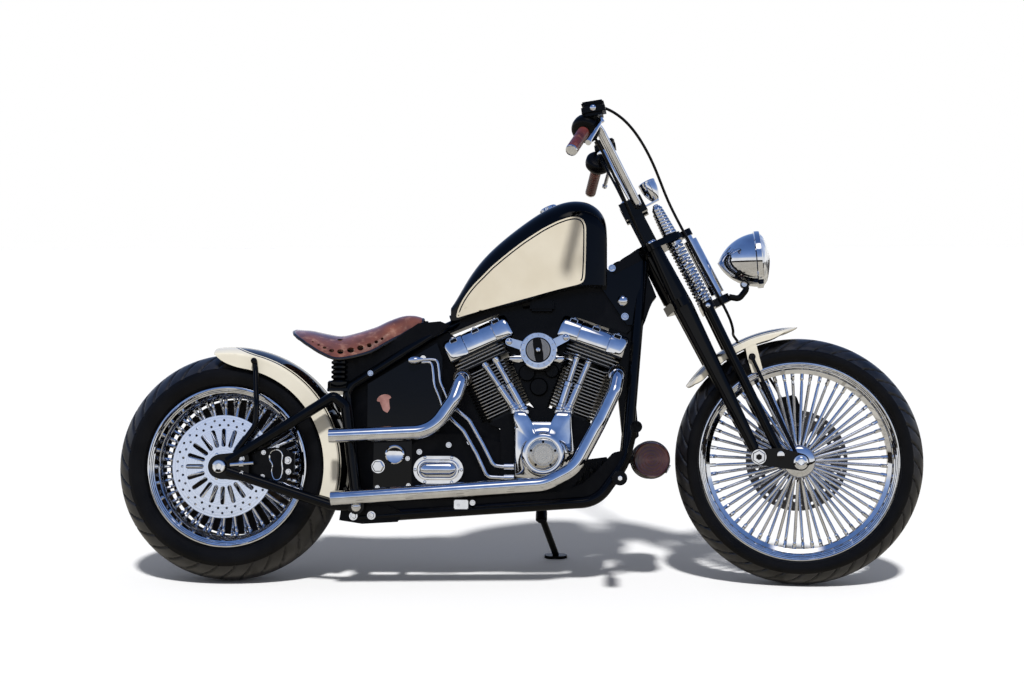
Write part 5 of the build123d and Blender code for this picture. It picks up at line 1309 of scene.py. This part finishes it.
SKIRT = (
    (352, 190), (352, 226), (700, 240), (960, 258), (1020, 280), (1062, 320), (1110, 372),
    (1146, 380), (1130, 330), (1080, 254), (1040, 226), (700, 200),
)
bm = bmesh.new()
for outline, low, high in ((TRAY, 62, 74), (SKIRT, 98, 104)):
    panel(bm, outline, -high, -low)
    panel(bm, outline, low, high)
panel(bm, [
    (352, 200), (352, 556), (400, 590), (620, 728), (660, 700), (700, 650), (716, 566),
    (742, 520), (782, 436), (800, 430), (862, 428), (862, 262), (700, 208),
], -46, -38)
panel(bm, [(334, 178), (340, 214), (470, 220), (520, 200), (500, 174), (400, 168)], -120, -114)
panel(bm, [(985, 262), (1000, 330), (1030, 352), (1090, 360), (1110, 330), (1060, 262)], -60, 40, 6)
# Partly painted shade too: black sheets in the gaps of the frame.
built(bm, "trays_and_skirts", bike, "frame", crankcase_black)
bm = bmesh.new()
for x, z, y, radius in (
    (1012, 300, -60, 9), (1046, 322, -60, 7), (1070, 300, -60, 8), (1030, 280, -60, 6),
):
    turned(bm, (x, y, z), RIGHT, [(0, 0), (radius, 0), (radius, 8), (radius - 2, 10), (0, 10)], 20)
for i in range(6):
    tube(bm, [(1004 + 16 * i, -62, 270 + 9 * i), (1018 + 15 * i, -62, 330 + 5 * i)], 3.2, 10)
built(bm, "regulator_fins", bike, "frame", dull_black)

# ---------------------------------------------------------------- exhaust pipes and oil lines
# Two plated pipes sweep back along the right side and end in straight cuts, with a clamp where
# each leaves its port; two thin plated lines feed the oil pump.
painted(chrome, "exhaust_pipes", "oil_lines")
bm = bmesh.new()
for at, direction in (
    ((679, -104, 582), (0.02, -0.99, -0.1)), ((1119, -108, 593), (0.3, -0.94, -0.1)),
):
    turned(bm, at, direction, [
        (20.2, -6), (26, -6), (27, -4), (27, 4), (26, 6), (20.2, 6), (20.2, -6),
    ], 36)
built(bm, "exhaust_clamps", bike, "frame", chrome)
bm = bmesh.new()
slab(bm, Matrix.Identity(4), (680, -124, 224), (40, 5, 26), chamfer=2.2)
turned(bm, (676, -126, 226), RIGHT, [(5, 0), (9, 0), (9, 2), (5, 2), (5, 0)], 24)
built(bm, "pipe_bracket", bike, "frame", chrome)
fastened("bracket_bolts", "frame", bike, "hexagon", [
    ((672, -126.5, 222), RIGHT, 4), ((712, -121, 229), RIGHT, 6),
])

# ---------------------------------------------------------------- foot controls and side stand
# Forward controls: ribbed rubber pegs on black arms and a round brake pad on its lever. The side
# stand under the left rail is coated dull black.
painted(dull_black, "foot_controls", "side_stand")
bm = bmesh.new()
for side in (-1, 1):
    turned(bm, (1122, side * 196, 300), (0, side, 0), [
        point for i in range(12) for point in (
            (17.2, i * 9.0), (19.6, i * 9.0 + 1.8), (19.6, i * 9.0 + 5.4), (17.2, i * 9.0 + 7.2),
        )
    ] + [(0, 106)], 28)
    turned(bm, (1169, side * 210, 441), (0, side, 0), [
        (0, 0), (15.5, 0), (16.5, 2), (16.5, 12), (14.5, 14), (0, 14),
    ], 32)
built(bm, "peg_rubbers", bike, "frame", rubber)
fastened("pedal_bolts", "frame", bike, "hexagon", both_sides([
    ((1122, -302, 300), RIGHT, 7), ((1122, -140, 312), (0, 0, 1), 5),
]))

# ---------------------------------------------------------------- tool roll
# Stuffed roll of reddish leather ahead of the downtubes, on two black arms: its wound ends show
# the turns, and two straps with buckles pull it in.


def tanned(name, light, dark, worn, grain_mm):
    """Oiled leather: cloudy tan, paler where it is rubbed, over a fine cell grain."""
    made, tree, where = surface(name)
    cloud = add(tree, "ShaderNodeTexNoise", Vector=where, Scale=1000 / 90, Detail=5.0)
    base = add(tree, "ShaderNodeValToRGB", ((0.35, dark), (0.65, light)), Fac=cloud)
    rubs = add(tree, "ShaderNodeTexNoise", Vector=where, Scale=1000 / 22, Detail=6.0, Roughness=0.6)
    rubbed = add(
        tree, "ShaderNodeMapRange", Value=rubs, From_Min=0.52, From_Max=0.75, To_Max=0.6
    )
    cells = add(
        tree, "ShaderNodeTexVoronoi", Vector=where, Scale=1000 / grain_mm,
        feature="DISTANCE_TO_EDGE",
    )
    fine = add(tree, "ShaderNodeBump", Height=cells, Strength=0.3, Distance=0.0004)
    creases = add(tree, "ShaderNodeTexNoise", Vector=where, Scale=1000 / 14, Detail=4.0)
    add(tree, "ShaderNodeOutputMaterial", Surface=add(
        tree, "ShaderNodeBsdfPrincipled", Coat_Weight=0.8, Coat_Roughness=0.14, IOR=1.5,
        Specular_IOR_Level=0.4,
        Base_Color=add(tree, "ShaderNodeMixRGB", _0=rubbed, _1=base, _2=linear(worn)),
        Roughness=add(tree, "ShaderNodeMapRange", Value=rubs, To_Min=0.28, To_Max=0.46),
        Normal=add(
            tree, "ShaderNodeBump", Height=creases, Strength=0.25, Distance=0.0012, Normal=fine
        ),
    ))
    return made


# The roll's leather is darkened past its reddish tone: partly painted shade, for its shadow.
roll_leather_darkened_for_shade = tanned("red_brown_leather_with_painted_shade", "#3E1410", "#260C0A", "#55241B", 2.2)
strap_leather = tanned("dark_strap_leather", "#140E0C", "#0A0706", "#2A1E18", 2.0)
ROLL_AT, ROLL_R, ROLL_HALF, ROLL_SIDES = (1216, 352), 52.0, 111.0, 96
STRAPS_AT = (-66.0, 70.0)
bm = bmesh.new()
rows = 56
grid = []
for row in range(rows + 1):
    y = -ROLL_HALF + 2 * ROLL_HALF * row / rows
    pinch = sum(math.exp(-(((y - at) / 11) ** 2)) for at in STRAPS_AT)
    end = max(0.0, (abs(y) - ROLL_HALF + 6) / 6)
    ring = []
    for i in range(ROLL_SIDES):
        turn = 2 * math.pi * i / ROLL_SIDES
        wound = 3.2 * ((turn - 0.6) % (2 * math.pi)) / (2 * math.pi)
        swell = 1.3 * noise.noise(Vector((turn * 1.1, y / 55, 3.1)))
        radius = ROLL_R - 3.6 + wound - 2.0 * pinch - 3.5 * end**2 + swell
        ring.append(bm.verts.new((
            ROLL_AT[0] + radius * math.cos(turn), y, ROLL_AT[1] + radius * math.sin(turn)
        )))
    grid.append(ring)
joined(bm, grid)
# The ends show the hide wound up in turns 9.5 mm thick.
WOUND_MM, END_RINGS = 9.5, 25
for side, outer in ((-1, grid[0]), (1, grid[-1])):
    rings = [outer]
    for step in range(1, END_RINGS):
        radius = (ROLL_R - 7) * (1 - step / END_RINGS)
        ring = []
        for i, (x, z) in enumerate(circle(ROLL_SIDES, radius)):
            winding = math.sin(2 * math.pi * (radius / WOUND_MM - i / ROLL_SIDES))
            y = side * (ROLL_HALF - 1.6 + 0.45 * winding)
            ring.append(bm.verts.new((ROLL_AT[0] + x, y, ROLL_AT[1] + z)))
        rings.append(ring)
    joined(bm, rings)
    bm.faces.new(rings[-1])
for at in STRAPS_AT:
    turned(bm, (ROLL_AT[0], at, ROLL_AT[1]), LEFT, [
        (ROLL_R - 5, -9), (ROLL_R + 0.8, -9), (ROLL_R + 2.4, -7.5), (ROLL_R + 2.4, 7.5),
        (ROLL_R + 0.8, 9), (ROLL_R - 5, 9), (ROLL_R - 5, -9),
    ], 72, 1)
    buckle = Matrix.Translation((ROLL_AT[0], at, ROLL_AT[1])) @ Matrix.Rotation(0.5, 4, "Y")
    corners = ((-13, 12), (13, 12), (13, -12), (-13, -12))
    tube(bm, [buckle @ Vector((ROLL_R + 3, y, z)) for y, z in corners], 1.7, 8, True, 2)
    tube(bm, [buckle @ Vector((ROLL_R + 4, 0, z)) for z in (-12, 12)], 1.4, 8, False, 2)
roll = built(
    bm, "tool_roll_leather", bike, "frame", (roll_leather_darkened_for_shade, strap_leather, chrome),
    ("tool_roll",), 50,
)
bm = bmesh.new()
for side in (-1, 1):
    turned(bm, (1138, side * 86, 352), (1, 0, 0), [(0, 0), (10, 0), (10, 40), (0, 40)], 20)
built(bm, "tool_roll_arms", bike, "frame", dull_black)

# ---------------------------------------------------------------- fuel tank
# Pressed steel tank in black enamel. Each side has a cream panel that reaches its lower edge,
# inside a cream line and a black pinstripe; the filler cap is plated and knurled.
painted(black_enamel, "fuel_tank")
PANEL = (
    (657, 757), (660, 774), (666, 790), (678, 812), (693, 833), (711, 854), (734, 876),
    (759, 901), (789, 926), (817, 948), (848, 971), (877, 990), (906, 1008), (929, 1020),
    (950, 1030), (969, 1037), (986, 1042), (1000, 1044), (1011, 1042), (1020, 1038),
    (1026, 1031), (1030, 1022), (1032, 1012), (1032, 979), (1031, 923), (1029, 877),
    (1027, 862), (1022, 853), (1010, 848), (946, 832), (872, 812), (786, 790), (713, 771),
)
# In from its outline: a cream line, the black pinstripe and the field, each drawn in two strips.
BORDER = (0.0, 2.4, 4.8, 6.7, 8.6, 12.0)
PINSTRIPE = (2, 4)
FIELD_STEPS = 8
PANEL_LIFT, PANEL_FILM = 0.0006, 0.0008
# The panel's lower edge, along which the pinstripe doesn't run, rises from its tail at this slope.
TAIL_AT, EDGE_SLOPE = (657, 757), 0.263
cream_enamel = enamelled("cream_enamel", "#E3DAC6", "#DBD1BB")
tank = parts["fuel_tank"]
skin = BVHTree.FromPolygons(
    [vertex.co[:] for vertex in tank.data.vertices],
    [face.vertices[:] for face in tank.data.polygons],
)
outline = [Vector((x, z)) for x, z in PANEL]
dense = []
for a, b in zip(outline, outline[1:] + outline[:1]):
    pieces = max(1, round((b - a).length / 6))
    dense += [a.lerp(b, i / pieces) for i in range(pieces)]
for _ in range(2):
    dense = [
        (dense[i - 1] + dense[i] * 2 + dense[(i + 1) % len(dense)]) / 4 for i in range(len(dense))
    ]
inward = []
for i, point in enumerate(dense):
    run = (dense[(i + 1) % len(dense)] - dense[i - 1]).normalized()
    inward.append(Vector((run.y, -run.x)))


def spine_point(point):
    """Nearest place on the panel's middle line, which runs up from its tail to its front."""
    share = min(max((point.x - 690) / 300, 0), 1)
    return Vector((690 + 280 * share, 790 + 150 * share))


for side, name in ((-1, "right"), (1, "left")):
    bm = bmesh.new()
    rings = []
    toward = bike.to_3x3() @ Vector((0, -side, 0))
    strips = [(inset, 0.0) for inset in BORDER]
    strips += [(BORDER[-1], step / FIELD_STEPS) for step in range(1, FIELD_STEPS + 1)]
    for inset, share in strips:
        ring = []
        for point, way in zip(dense, inward):
            flat = point + way * inset
            if share:
                flat = flat.lerp(spine_point(point), share)
            start = bike @ (Vector((flat.x, side * 400, flat.y)) * MM)
            hit = skin.ray_cast(start, toward)[0] or skin.find_nearest(start)[0]
            ring.append(bm.verts.new(hit - toward * PANEL_LIFT))
        rings.append(ring)
    for index, (low, high) in enumerate(zip(rings, rings[1:])):
        for i in range(len(dense)):
            j = (i + 1) % len(dense)
            low_edge = TAIL_AT[1] + (dense[i].x - TAIL_AT[0]) * EDGE_SLOPE
            along_edge = 664 < dense[i].x < 1022 and dense[i].y < low_edge + 10
            black = PINSTRIPE[0] <= index < PINSTRIPE[1] and not along_edge
            corners = (low[i], low[j], high[j], high[i])
            bm.faces.new(corners).material_index = int(black)
    bmesh.ops.remove_doubles(bm, verts=rings[-1], dist=0.0004)
    bmesh.ops.recalc_face_normals(bm, faces=bm.faces)
    if sum(face.normal.dot(toward) * face.calc_area() for face in bm.faces) > 0:
        bmesh.ops.reverse_faces(bm, faces=bm.faces)
    panel = meshed(bm, "tank_panel_" + name, cream_enamel, black_enamel)
    wall = panel.modifiers.new("film", "SOLIDIFY")
    wall.thickness, wall.offset = PANEL_FILM, -1.0
    softened(panel, 60)
    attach(panel, "frame")

painted(chrome, "fuel_cap")
CAP_AT, CAP_TILT, KNURL = (929, 1077), 24.0, 0.8
bm = bmesh.new()
cap_up = (-math.sin(math.radians(CAP_TILT)), 0, math.cos(math.radians(CAP_TILT)))
cap_foot = Vector((CAP_AT[0], 0, CAP_AT[1] - 8)) + Vector(cap_up) * 8
place = facing(cap_foot, cap_up)
rings = []
for reach, high in ((27.5, 0), (27.5, 3), (25.5, 4), (26, 5), (25, 13), (22.5, 16), (10, 17.5)):
    knurl = KNURL if 4 < high < 14 else 0.0
    rings.append([
        bm.verts.new(place @ (Vector((x, y, 0)) * (reach + knurl * (i % 2)) + Vector((0, 0, high))))
        for i, (x, y) in enumerate(circle(72))
    ])
joined(bm, rings, caps=True)
built(bm, "filler_cap", bike, "frame", chrome)

# ---------------------------------------------------------------- saddle
# One shell of thick moulded leather, dished for the rider, its skirts pierced with ten graded
# holes a side, a dark leather welt round its edge; it sits on black coil springs and a steel bar.
painted(black_enamel, "saddle_frame")
saddle_leather = tanned("moulded_brown_leather", "#7F4B38", "#4B2A20", "#B58A76", 1.8)
SADDLE_FROM, SADDLE_LENGTH, HIDE = 184.5, 371, 8.5
# x, half width, top on the centre line, edge of the skirt
SADDLE = (
    (184, 50, 729, 722), (192, 84, 729, 712), (206, 105, 728, 700), (232, 122, 726, 682),
    (275, 135, 717, 656), (320, 140, 711, 638), (370, 124, 722, 645), (420, 104, 738, 662),
    (460, 84, 757, 688), (500, 62, 770, 712), (530, 46, 771, 732), (548, 36, 767, 742),
    (556, 22, 764, 750),
)


def saddle_at(x):
    """Half width, top and edge of the saddle at a station, smooth between the table's rows."""
    for i in range(len(SADDLE) - 1):
        if x <= SADDLE[i + 1][0] or i == len(SADDLE) - 2:
            rows = [SADDLE[min(max(k, 0), len(SADDLE) - 1)] for k in range(i - 1, i + 3)]
            t = (x - rows[1][0]) / (rows[2][0] - rows[1][0])
            return [blended(*four, t) for four in zip(*(row[1:] for row in rows))]


def saddle_point(x, across):
    """Point on the shell's top; across runs from -1 at the right edge to 1 at the left."""
    half, top, edge = saddle_at(x)
    line = arc((-half, edge), (0, top), (half, edge), 2)
    drop = top - edge
    radius = (half**2 + drop**2) / (2 * drop)
    sweep = math.asin(min(half / radius, 1)) if drop < half else math.pi - math.asin(half / radius)
    turn = across * sweep
    return Vector((x, radius * math.sin(turn), top - radius + radius * math.cos(turn)))


bm = bmesh.new()
along, across = 72, 56
grid = []
for i in range(along + 1):
    share = i / along
    x = SADDLE_FROM + SADDLE_LENGTH * (share - 0.035 * math.sin(2 * math.pi * share))
    grid.append([bm.verts.new(saddle_point(x, -1 + 2 * j / across)) for j in range(across + 1)])
joined(bm, grid, closed=False)
bmesh.ops.recalc_face_normals(bm, faces=bm.faces)
if sum(face.normal.z for face in bm.faces) < 0:
    bmesh.ops.reverse_faces(bm, faces=bm.faces)
bm.transform(bike @ Matrix.Scale(MM, 4))
shell = meshed(bm, "saddle_leather", saddle_leather)
wall = shell.modifiers.new("hide", "SOLIDIFY")
wall.thickness, wall.offset = HIDE * MM, -1.0
HOLES = (
    (250, 3.2), (268, 4.2), (286, 5.4), (307, 7.2), (332, 9.4), (360, 10.2), (387, 9.4),
    (411, 7.2), (430, 5.4), (446, 4.2),
)
bm = bmesh.new()
for x, radius in HOLES:
    for side in (-1, 1):
        # The widest holes stand a little lower on the skirt.
        reach = side * (0.86 if 300 < x < 420 else 0.85)
        at = saddle_point(x, reach)
        beside = saddle_point(x + 2, reach) - at
        down = saddle_point(x, reach * 1.02) - at
        out = beside.cross(down).normalized()
        turned(bm, at - out * 30, out, [(0, 0), (radius, 0), (radius, 60), (0, 60)], 24)
bmesh.ops.recalc_face_normals(bm, faces=bm.faces)
bm.transform(bike @ Matrix.Scale(MM, 4))
punch = meshed(bm, "punch")
cut = shell.modifiers.new("holes", "BOOLEAN")
cut.operation, cut.solver, cut.object = "DIFFERENCE", "EXACT", punch
graph = bpy.context.evaluated_depsgraph_get()
hide = bpy.data.meshes.new_from_object(shell.evaluated_get(graph), depsgraph=graph)
shell.modifiers.clear()
shell.data = hide
bpy.data.objects.remove(punch)
softened(shell, 50)
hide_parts("saddle")
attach(shell, "frame")
bm = bmesh.new()
rim_line = [saddle_point(SADDLE_FROM + SADDLE_LENGTH * i / 90, -1) for i in range(91)]
for side in (1, -1):
    tube(bm, [Vector((p.x, side * p.y, p.z - 3.2)) for p in rim_line], 4.6, 10)
for x, ahead_by in ((SADDLE_FROM + SADDLE_LENGTH, 0), (SADDLE_FROM + 0.1, 1.5)):
    tube(bm, [
        saddle_point(x, -1 + 2 * i / 16) + Vector((ahead_by, 0, -3.5)) for i in range(17)
    ], 4.4, 10)
built(bm, "saddle_rim", bike, "frame", strap_leather)
bm = bmesh.new()
for side in (1, -1):
    turned(bm, (322, side * 70, 551), (0, 0, 1), [
        (0, 0), (33, 0), (34, 3), (34, 20), (31, 24), (27, 24), (26, 21), (0, 21),
    ], 48)
built(bm, "spring_cups", bike, "frame", black_enamel)

# ---------------------------------------------------------------- springer fork
# Two pairs of legs: the fixed rear pair carries the steering, the front pair rides on the springs
# through short rockers. Black enamel, plated nuts, springs and shrouds.
painted(black_enamel, "fork_legs", "top_clamp", "spring_legs", "rockers")
painted(chrome, "fork_damper")
LEG_FOOT, SPRING_LEG_FOOT = (9.0, 405.0), (66.0, 383.0)
axle_in_fork = fork.inverted() @ Vector(hinges["front_wheel_spin"]["pos_m"])
AXLE_AT = (axle_in_fork.x * 1000, axle_in_fork.z * 1000)
SPRING_AT = (80.0, 48.0)
COIL_FROM, COIL_LENGTH, COIL_TURNS, COIL_R, WIRE_R = 862.5, 199.0, 19, 17.4, 4.3
bm = bmesh.new()
for side in (1, -1):
    line = []
    for i in range(COIL_TURNS * 20 + 1):
        wind = i / 20
        share = min(max((wind - 0.75) / (COIL_TURNS - 1.5), 0), 1)
        line.append((
            SPRING_AT[0] + COIL_R * math.cos(2 * math.pi * wind),
            side * SPRING_AT[1] + COIL_R * math.sin(2 * math.pi * wind),
            COIL_FROM + WIRE_R + share * (COIL_LENGTH - 2 * WIRE_R),
        ))
    tube(bm, line, WIRE_R, 8)
    turned(bm, (SPRING_AT[0], side * SPRING_AT[1], COIL_FROM), (0, 0, 1), [
        (0, 0), (6.2, 0), (6.2, COIL_LENGTH), (0, COIL_LENGTH),
    ], 16)
built(bm, "fork_coils", fork, "fork", chrome, ("fork_springs",))
bm = bmesh.new()
for side in (1, -1):
    ribs = [(0, 0), (19, 0)]
    for i in range(9):
        low, radius = 2 + i * 9.6, 20.6 - 0.55 * i
        ribs += [
            (radius - 1.4, low), (radius - 0.2, low + 1.2), (radius, low + 4.4),
            (radius - 0.2, low + 7.6), (radius - 1.4, low + 8.8),
        ]
    ribs += [(13, 90), (11.5, 93.5), (0, 93.9)]
    turned(bm, (SPRING_AT[0], side * SPRING_AT[1], 1082), (0, 0, 1), ribs, 32)
built(bm, "upper_fork_coils", fork, "fork", chrome, ("spring_shrouds",), 60)
bm = bmesh.new()
for side in (1, -1):
    out = (0, side, 0)
    turned(bm, (LEG_FOOT[0], side * 112, LEG_FOOT[1]), out, [
        (0, 0), (19.6, 0), (19.6, 10), (17, 12.6), (9, 12.6), (8.5, 10.5), (0, 10.5),
    ], 6)
    turned(bm, (LEG_FOOT[0], side * 111.8, LEG_FOOT[1]), out, [
        (0, 0), (21, 0), (21, 2), (0, 2),
    ], 32)
    turned(bm, (SPRING_LEG_FOOT[0], side * 112, SPRING_LEG_FOOT[1]), out, [
        (0, 0), (12, 0), (12, 3), (10, 6.4), (0, 7),
    ], 28)
    turned(bm, (AXLE_AT[0], side * 122, AXLE_AT[1]), out, [
        (0, 0), (20, 0), (20, 2.4), (16, 3), (15.4, 9), (12, 11), (8, 11), (7, 9), (0, 9),
    ], 40)
built(bm, "rocker_nuts", fork, "fork", chrome)
fastened("crown_bolts", "fork", fork, "dome", [
    ((20, 88, 1082), (0, 0, 1), 15), ((20, -88, 1082), (0, 0, 1), 15),
    ((80, 48, 1176.5), (0, 0, 1), 9), ((80, -48, 1176.5), (0, 0, 1), 9),
])
fastened("clamp_bolts", "fork", fork, "button", [
    ((x, side * 44, 1230), (0, 0, 1), 6) for x in (0, 44) for side in (1, -1)
] + [
    ((x, side * y, z), (0, side, 0), 7) for x, y, z in ((17, 109, 893), (79, 104, 850))
    for side in (1, -1)
])

# ---------------------------------------------------------------- front fender and caliper
# Narrow cream fender with the rear one's stripes, black stays and brackets, and a small black
# caliper on the left of the wheel.
fender(
    "pressed_front_fender", "front_fender", front_wheel, "fork",
    striped("front_fender_enamel", front_wheel, 50, 4, 4, (74, 110), 385.0),
    385, 68, 16, 30, (63, 119), ((0.12, 15), (0.45, 9)),
)
# Outline of the plate that joins a stay to the fender's wall.
STAY_FOOT = (
    (122, 710), (146, 710), (151, 690), (134, 619), (118, 616), (103, 624), (110, 664),
    (118, 690),
)
bm = bmesh.new()
for side in (1, -1):
    joined(bm, [
        [bm.verts.new((x, y, z)) for x, z in STAY_FOOT] for y in (side * 67.6, side * 64)
    ], caps=True)
    tube(bm, eased([
        (AXLE_AT[0] + 1, side * 95, AXLE_AT[1] + 16), (AXLE_AT[0] + 2, side * 94, AXLE_AT[1] + 60),
        (122, side * 76, 640), (124, side * 72, 664),
    ]), 5.0, 14, finish=1)
    turned(bm, (124, side * 66, 664), (0, side, 0), [
        (0, 0), (10, 0), (10, 10), (8, 12), (0, 12),
    ], 24, 1)
    turned(bm, (AXLE_AT[0], side * 92, AXLE_AT[1]), (0, side, 0), [
        (0, 0), (20, 0), (20, 5), (0, 5),
    ], 32, 1)
cream_stay = enamelled("cream_stay_enamel", "#E9E3D3", "#E2DBC9")
built(bm, "front_fender_stays", fork, "fork", (cream_stay, black_enamel))
painted(dull_black, "front_caliper")
fastened("front_caliper_bolts", "fork", fork, "hexagon", [
    ((136, 84, 456), LEFT, 6), ((168, 84, 452), LEFT, 6), ((152, 84, 506), LEFT, 5),
])

# ---------------------------------------------------------------- headlamp
# Plated bucket with a rolled rim, a fluted glass in front of its bright bowl, on a black bracket.
painted(chrome, "headlamp")
painted(dull_black, "headlamp_bracket")
glass, tree, where = surface("fluted_glass")
lens_local = add(tree, "ShaderNodeMapping", Vector=where, **undone(fork))
flutes = add(tree, "ShaderNodeTexWave", Vector=lens_local, Scale=1000 / 60, bands_direction="Y")
add(tree, "ShaderNodeOutputMaterial", Surface=add(
    tree, "ShaderNodeBsdfPrincipled", Metallic=0.6, Roughness=0.08, Coat_Weight=1.0,
    Coat_Roughness=0.02, IOR=1.52,
    Base_Color=add(tree, "ShaderNodeValToRGB", ((0.0, "#C9CED6"), (1.0, "#F2F4F7")), Fac=flutes),
    Normal=add(tree, "ShaderNodeBump", Height=flutes, Strength=0.6, Distance=0.0015),
))
painted(glass, "headlamp_lens")
LAMP_AT, LAMP_DROP, LAMP_R = (275.5, 906.5), math.radians(22), 82.0
lamp_way = (math.cos(LAMP_DROP), 0, -math.sin(LAMP_DROP))
bm = bmesh.new()
turned(bm, (LAMP_AT[0], 0, LAMP_AT[1]), lamp_way, [
    (LAMP_R - 7, 7), (LAMP_R + 0.6, 5), (LAMP_R + 1.2, 0), (LAMP_R + 1.2, -9), (LAMP_R - 3, -12),
    (LAMP_R - 6, -10), (LAMP_R - 7, 7),
], 96)
built(bm, "headlamp_rim", fork, "fork", chrome)
fastened("headlamp_bolts", "fork", fork, "hexagon", [
    ((204, side * 16, 862), (0, side, 0), 6) for side in (1, -1)
])

# ---------------------------------------------------------------- bars, grips and hand controls
# Plated bars with brown leather-wound grips and plated end caps, black housings with a brake
# fluid sight glass, plated levers and black cables.
painted(chrome, "handlebar", "levers")
sheath = coated("cable_sheath", "#101011", "#0A0A0B", 0.3, 0.42, 3.0)
painted(sheath, "cables")
grip_leather = tanned("wound_grip_leather", "#6E3129", "#451D18", "#96604F", 1.6)
BAR_CORNER, BAR_END = Vector((34, -222, 1458)), Vector((-66, -392, 1371))
GRIP_LENGTH, GRIP_R, RIBS = 122.0, 17.0, 15
bm = bmesh.new()
for side in (1, -1):
    mirror = Vector((1, side, 1))
    start, end = BAR_END * mirror, BAR_CORNER * mirror
    way = (end - start).normalized()
    section = [(0, 2), (GRIP_R - 2.5, 2)]
    for i in range(RIBS):
        low = 3 + i * (GRIP_LENGTH - 6) / RIBS
        section += [
            (GRIP_R - 1.6, low), (GRIP_R - 0.1, low + 2.2), (GRIP_R - 0.1, low + 5.0),
            (GRIP_R - 1.6, low + 7.2),
        ]
    section += [(GRIP_R - 2.5, GRIP_LENGTH - 1), (0, GRIP_LENGTH - 1)]
    turned(bm, start, way, section, 36)
    turned(bm, start - way * 2.6, way, [
        (0, 0), (11, 0), (15.6, 2.4), (16.6, 5), (16.6, 8), (0, 8),
    ], 36, 1)
    turned(bm, start + way * (GRIP_LENGTH - 3), way, [
        (0, 0), (GRIP_R, 0), (GRIP_R, 3), (0, 3),
    ], 36, 1)
built(bm, "leather_grips", fork, "fork", (grip_leather, chrome), ("grips",), 40)

along_grip = (BAR_CORNER - BAR_END).normalized()
housing = BAR_END + along_grip * (GRIP_LENGTH + 17)
box_at = housing + Vector((36, -4, 16))
box_up = Vector((0.35, 0, 1)).normalized()
bm = bmesh.new()
for side in (1, -1):
    mirror = Vector((1, side, 1))
    turned(bm, (housing - along_grip * 16.5) * mirror, along_grip * mirror, [
        (0, -4), (26, -4), (34, 0), (38.6, 6), (40, 13), (40, 17), (38, 18), (38, 20), (40, 21),
        (39.4, 28), (35, 34), (27, 37.5), (0, 37.5),
    ], 48)
    turned(bm, box_at * mirror, (housing - box_at) * mirror, [
        (0, -6), (15, -6), (15, 40), (0, 40),
    ], 24)
    place = set_at(box_at * mirror, Vector((1, 0, -0.35)).normalized(), LEFT, box_up)
    slab(bm, place, (0, 0, 18), (66, 70, 34), 0, 9)
    slab(bm, place, (0, 0, 36), (62, 66, 9), 0, 3.5)
    slab(bm, place, (0, 0, 40.6), (46, 50, 3), 0, 1.2)
built(bm, "switch_housings", fork, "fork", dull_black, ("hand_controls",), 40)
spots = []
for side in (1, -1):
    mirror = Vector((1, side, 1))
    for dx, dy in ((-22, -24), (22, -24), (-22, 24), (22, 24)):
        at = box_at + box_up * 40 + Vector((dx, dy, -dx * 0.33))
        spots.append((at * mirror, box_up * mirror, 2.4))
fastened("reservoir_screws", "fork", fork, "button", spots)
fastened("sight_glasses", "fork", fork, "dome", [
    ((box_at + box_up * 20 + Vector((0, -35, 0))) * Vector((1, side, 1)), (0, -side, 0), 9)
    for side in (1, -1)
])

# ---------------------------------------------------------------- speedometer
# Small plated cup ahead of the bars with a cream dial, black marks and a needle under its bezel.
painted(chrome, "speedometer")
DIAL_AT, DIAL_R = Vector((90, 0, 1257)), 25.0
dial_cream = enamelled("dial_cream", "#EFE9DA", "#E6DFCE", 0.3, 0.4)
bm = bmesh.new()
turned(bm, DIAL_AT, (0, 0, 1), [(0, 0), (DIAL_R - 2, 0), (DIAL_R - 2, 1.2), (0, 1.2)], 48)
turned(bm, DIAL_AT, (0, 0, 1), [
    (DIAL_R - 2.5, 0), (DIAL_R + 0.8, -3), (DIAL_R + 1.2, 1), (DIAL_R - 0.6, 3.4),
    (DIAL_R - 2.5, 2.4), (DIAL_R - 2.5, 0),
], 48, 1)
for i in range(17):
    turn = math.radians(-40 + i * 260 / 16)
    place = Matrix.Translation(DIAL_AT) @ Matrix.Rotation(turn, 4, "Z")
    reach, length = (5.5, 3) if i % 2 else (6.5, 5)
    slab(bm, place, (DIAL_R - reach, 0, 1.4), (length, 0.9, 0.5), 2, 0.1)
place = Matrix.Translation(DIAL_AT) @ Matrix.Rotation(math.radians(70), 4, "Z")
slab(bm, place, (7, 0, 1.9), (18, 1.1, 0.5), 2, 0.1)
turned(bm, DIAL_AT, (0, 0, 1), [(0, 1), (2.6, 1), (2.6, 2.6), (0, 2.8)], 20, 2)
built(bm, "speedometer_dial", fork, "fork", (dial_cream, chrome, shade_and_print_black))

# ---------------------------------------------------------------- bounds and close
for pattern in pattern_objects.values():
    bpy.data.objects.remove(pattern)
low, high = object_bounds()
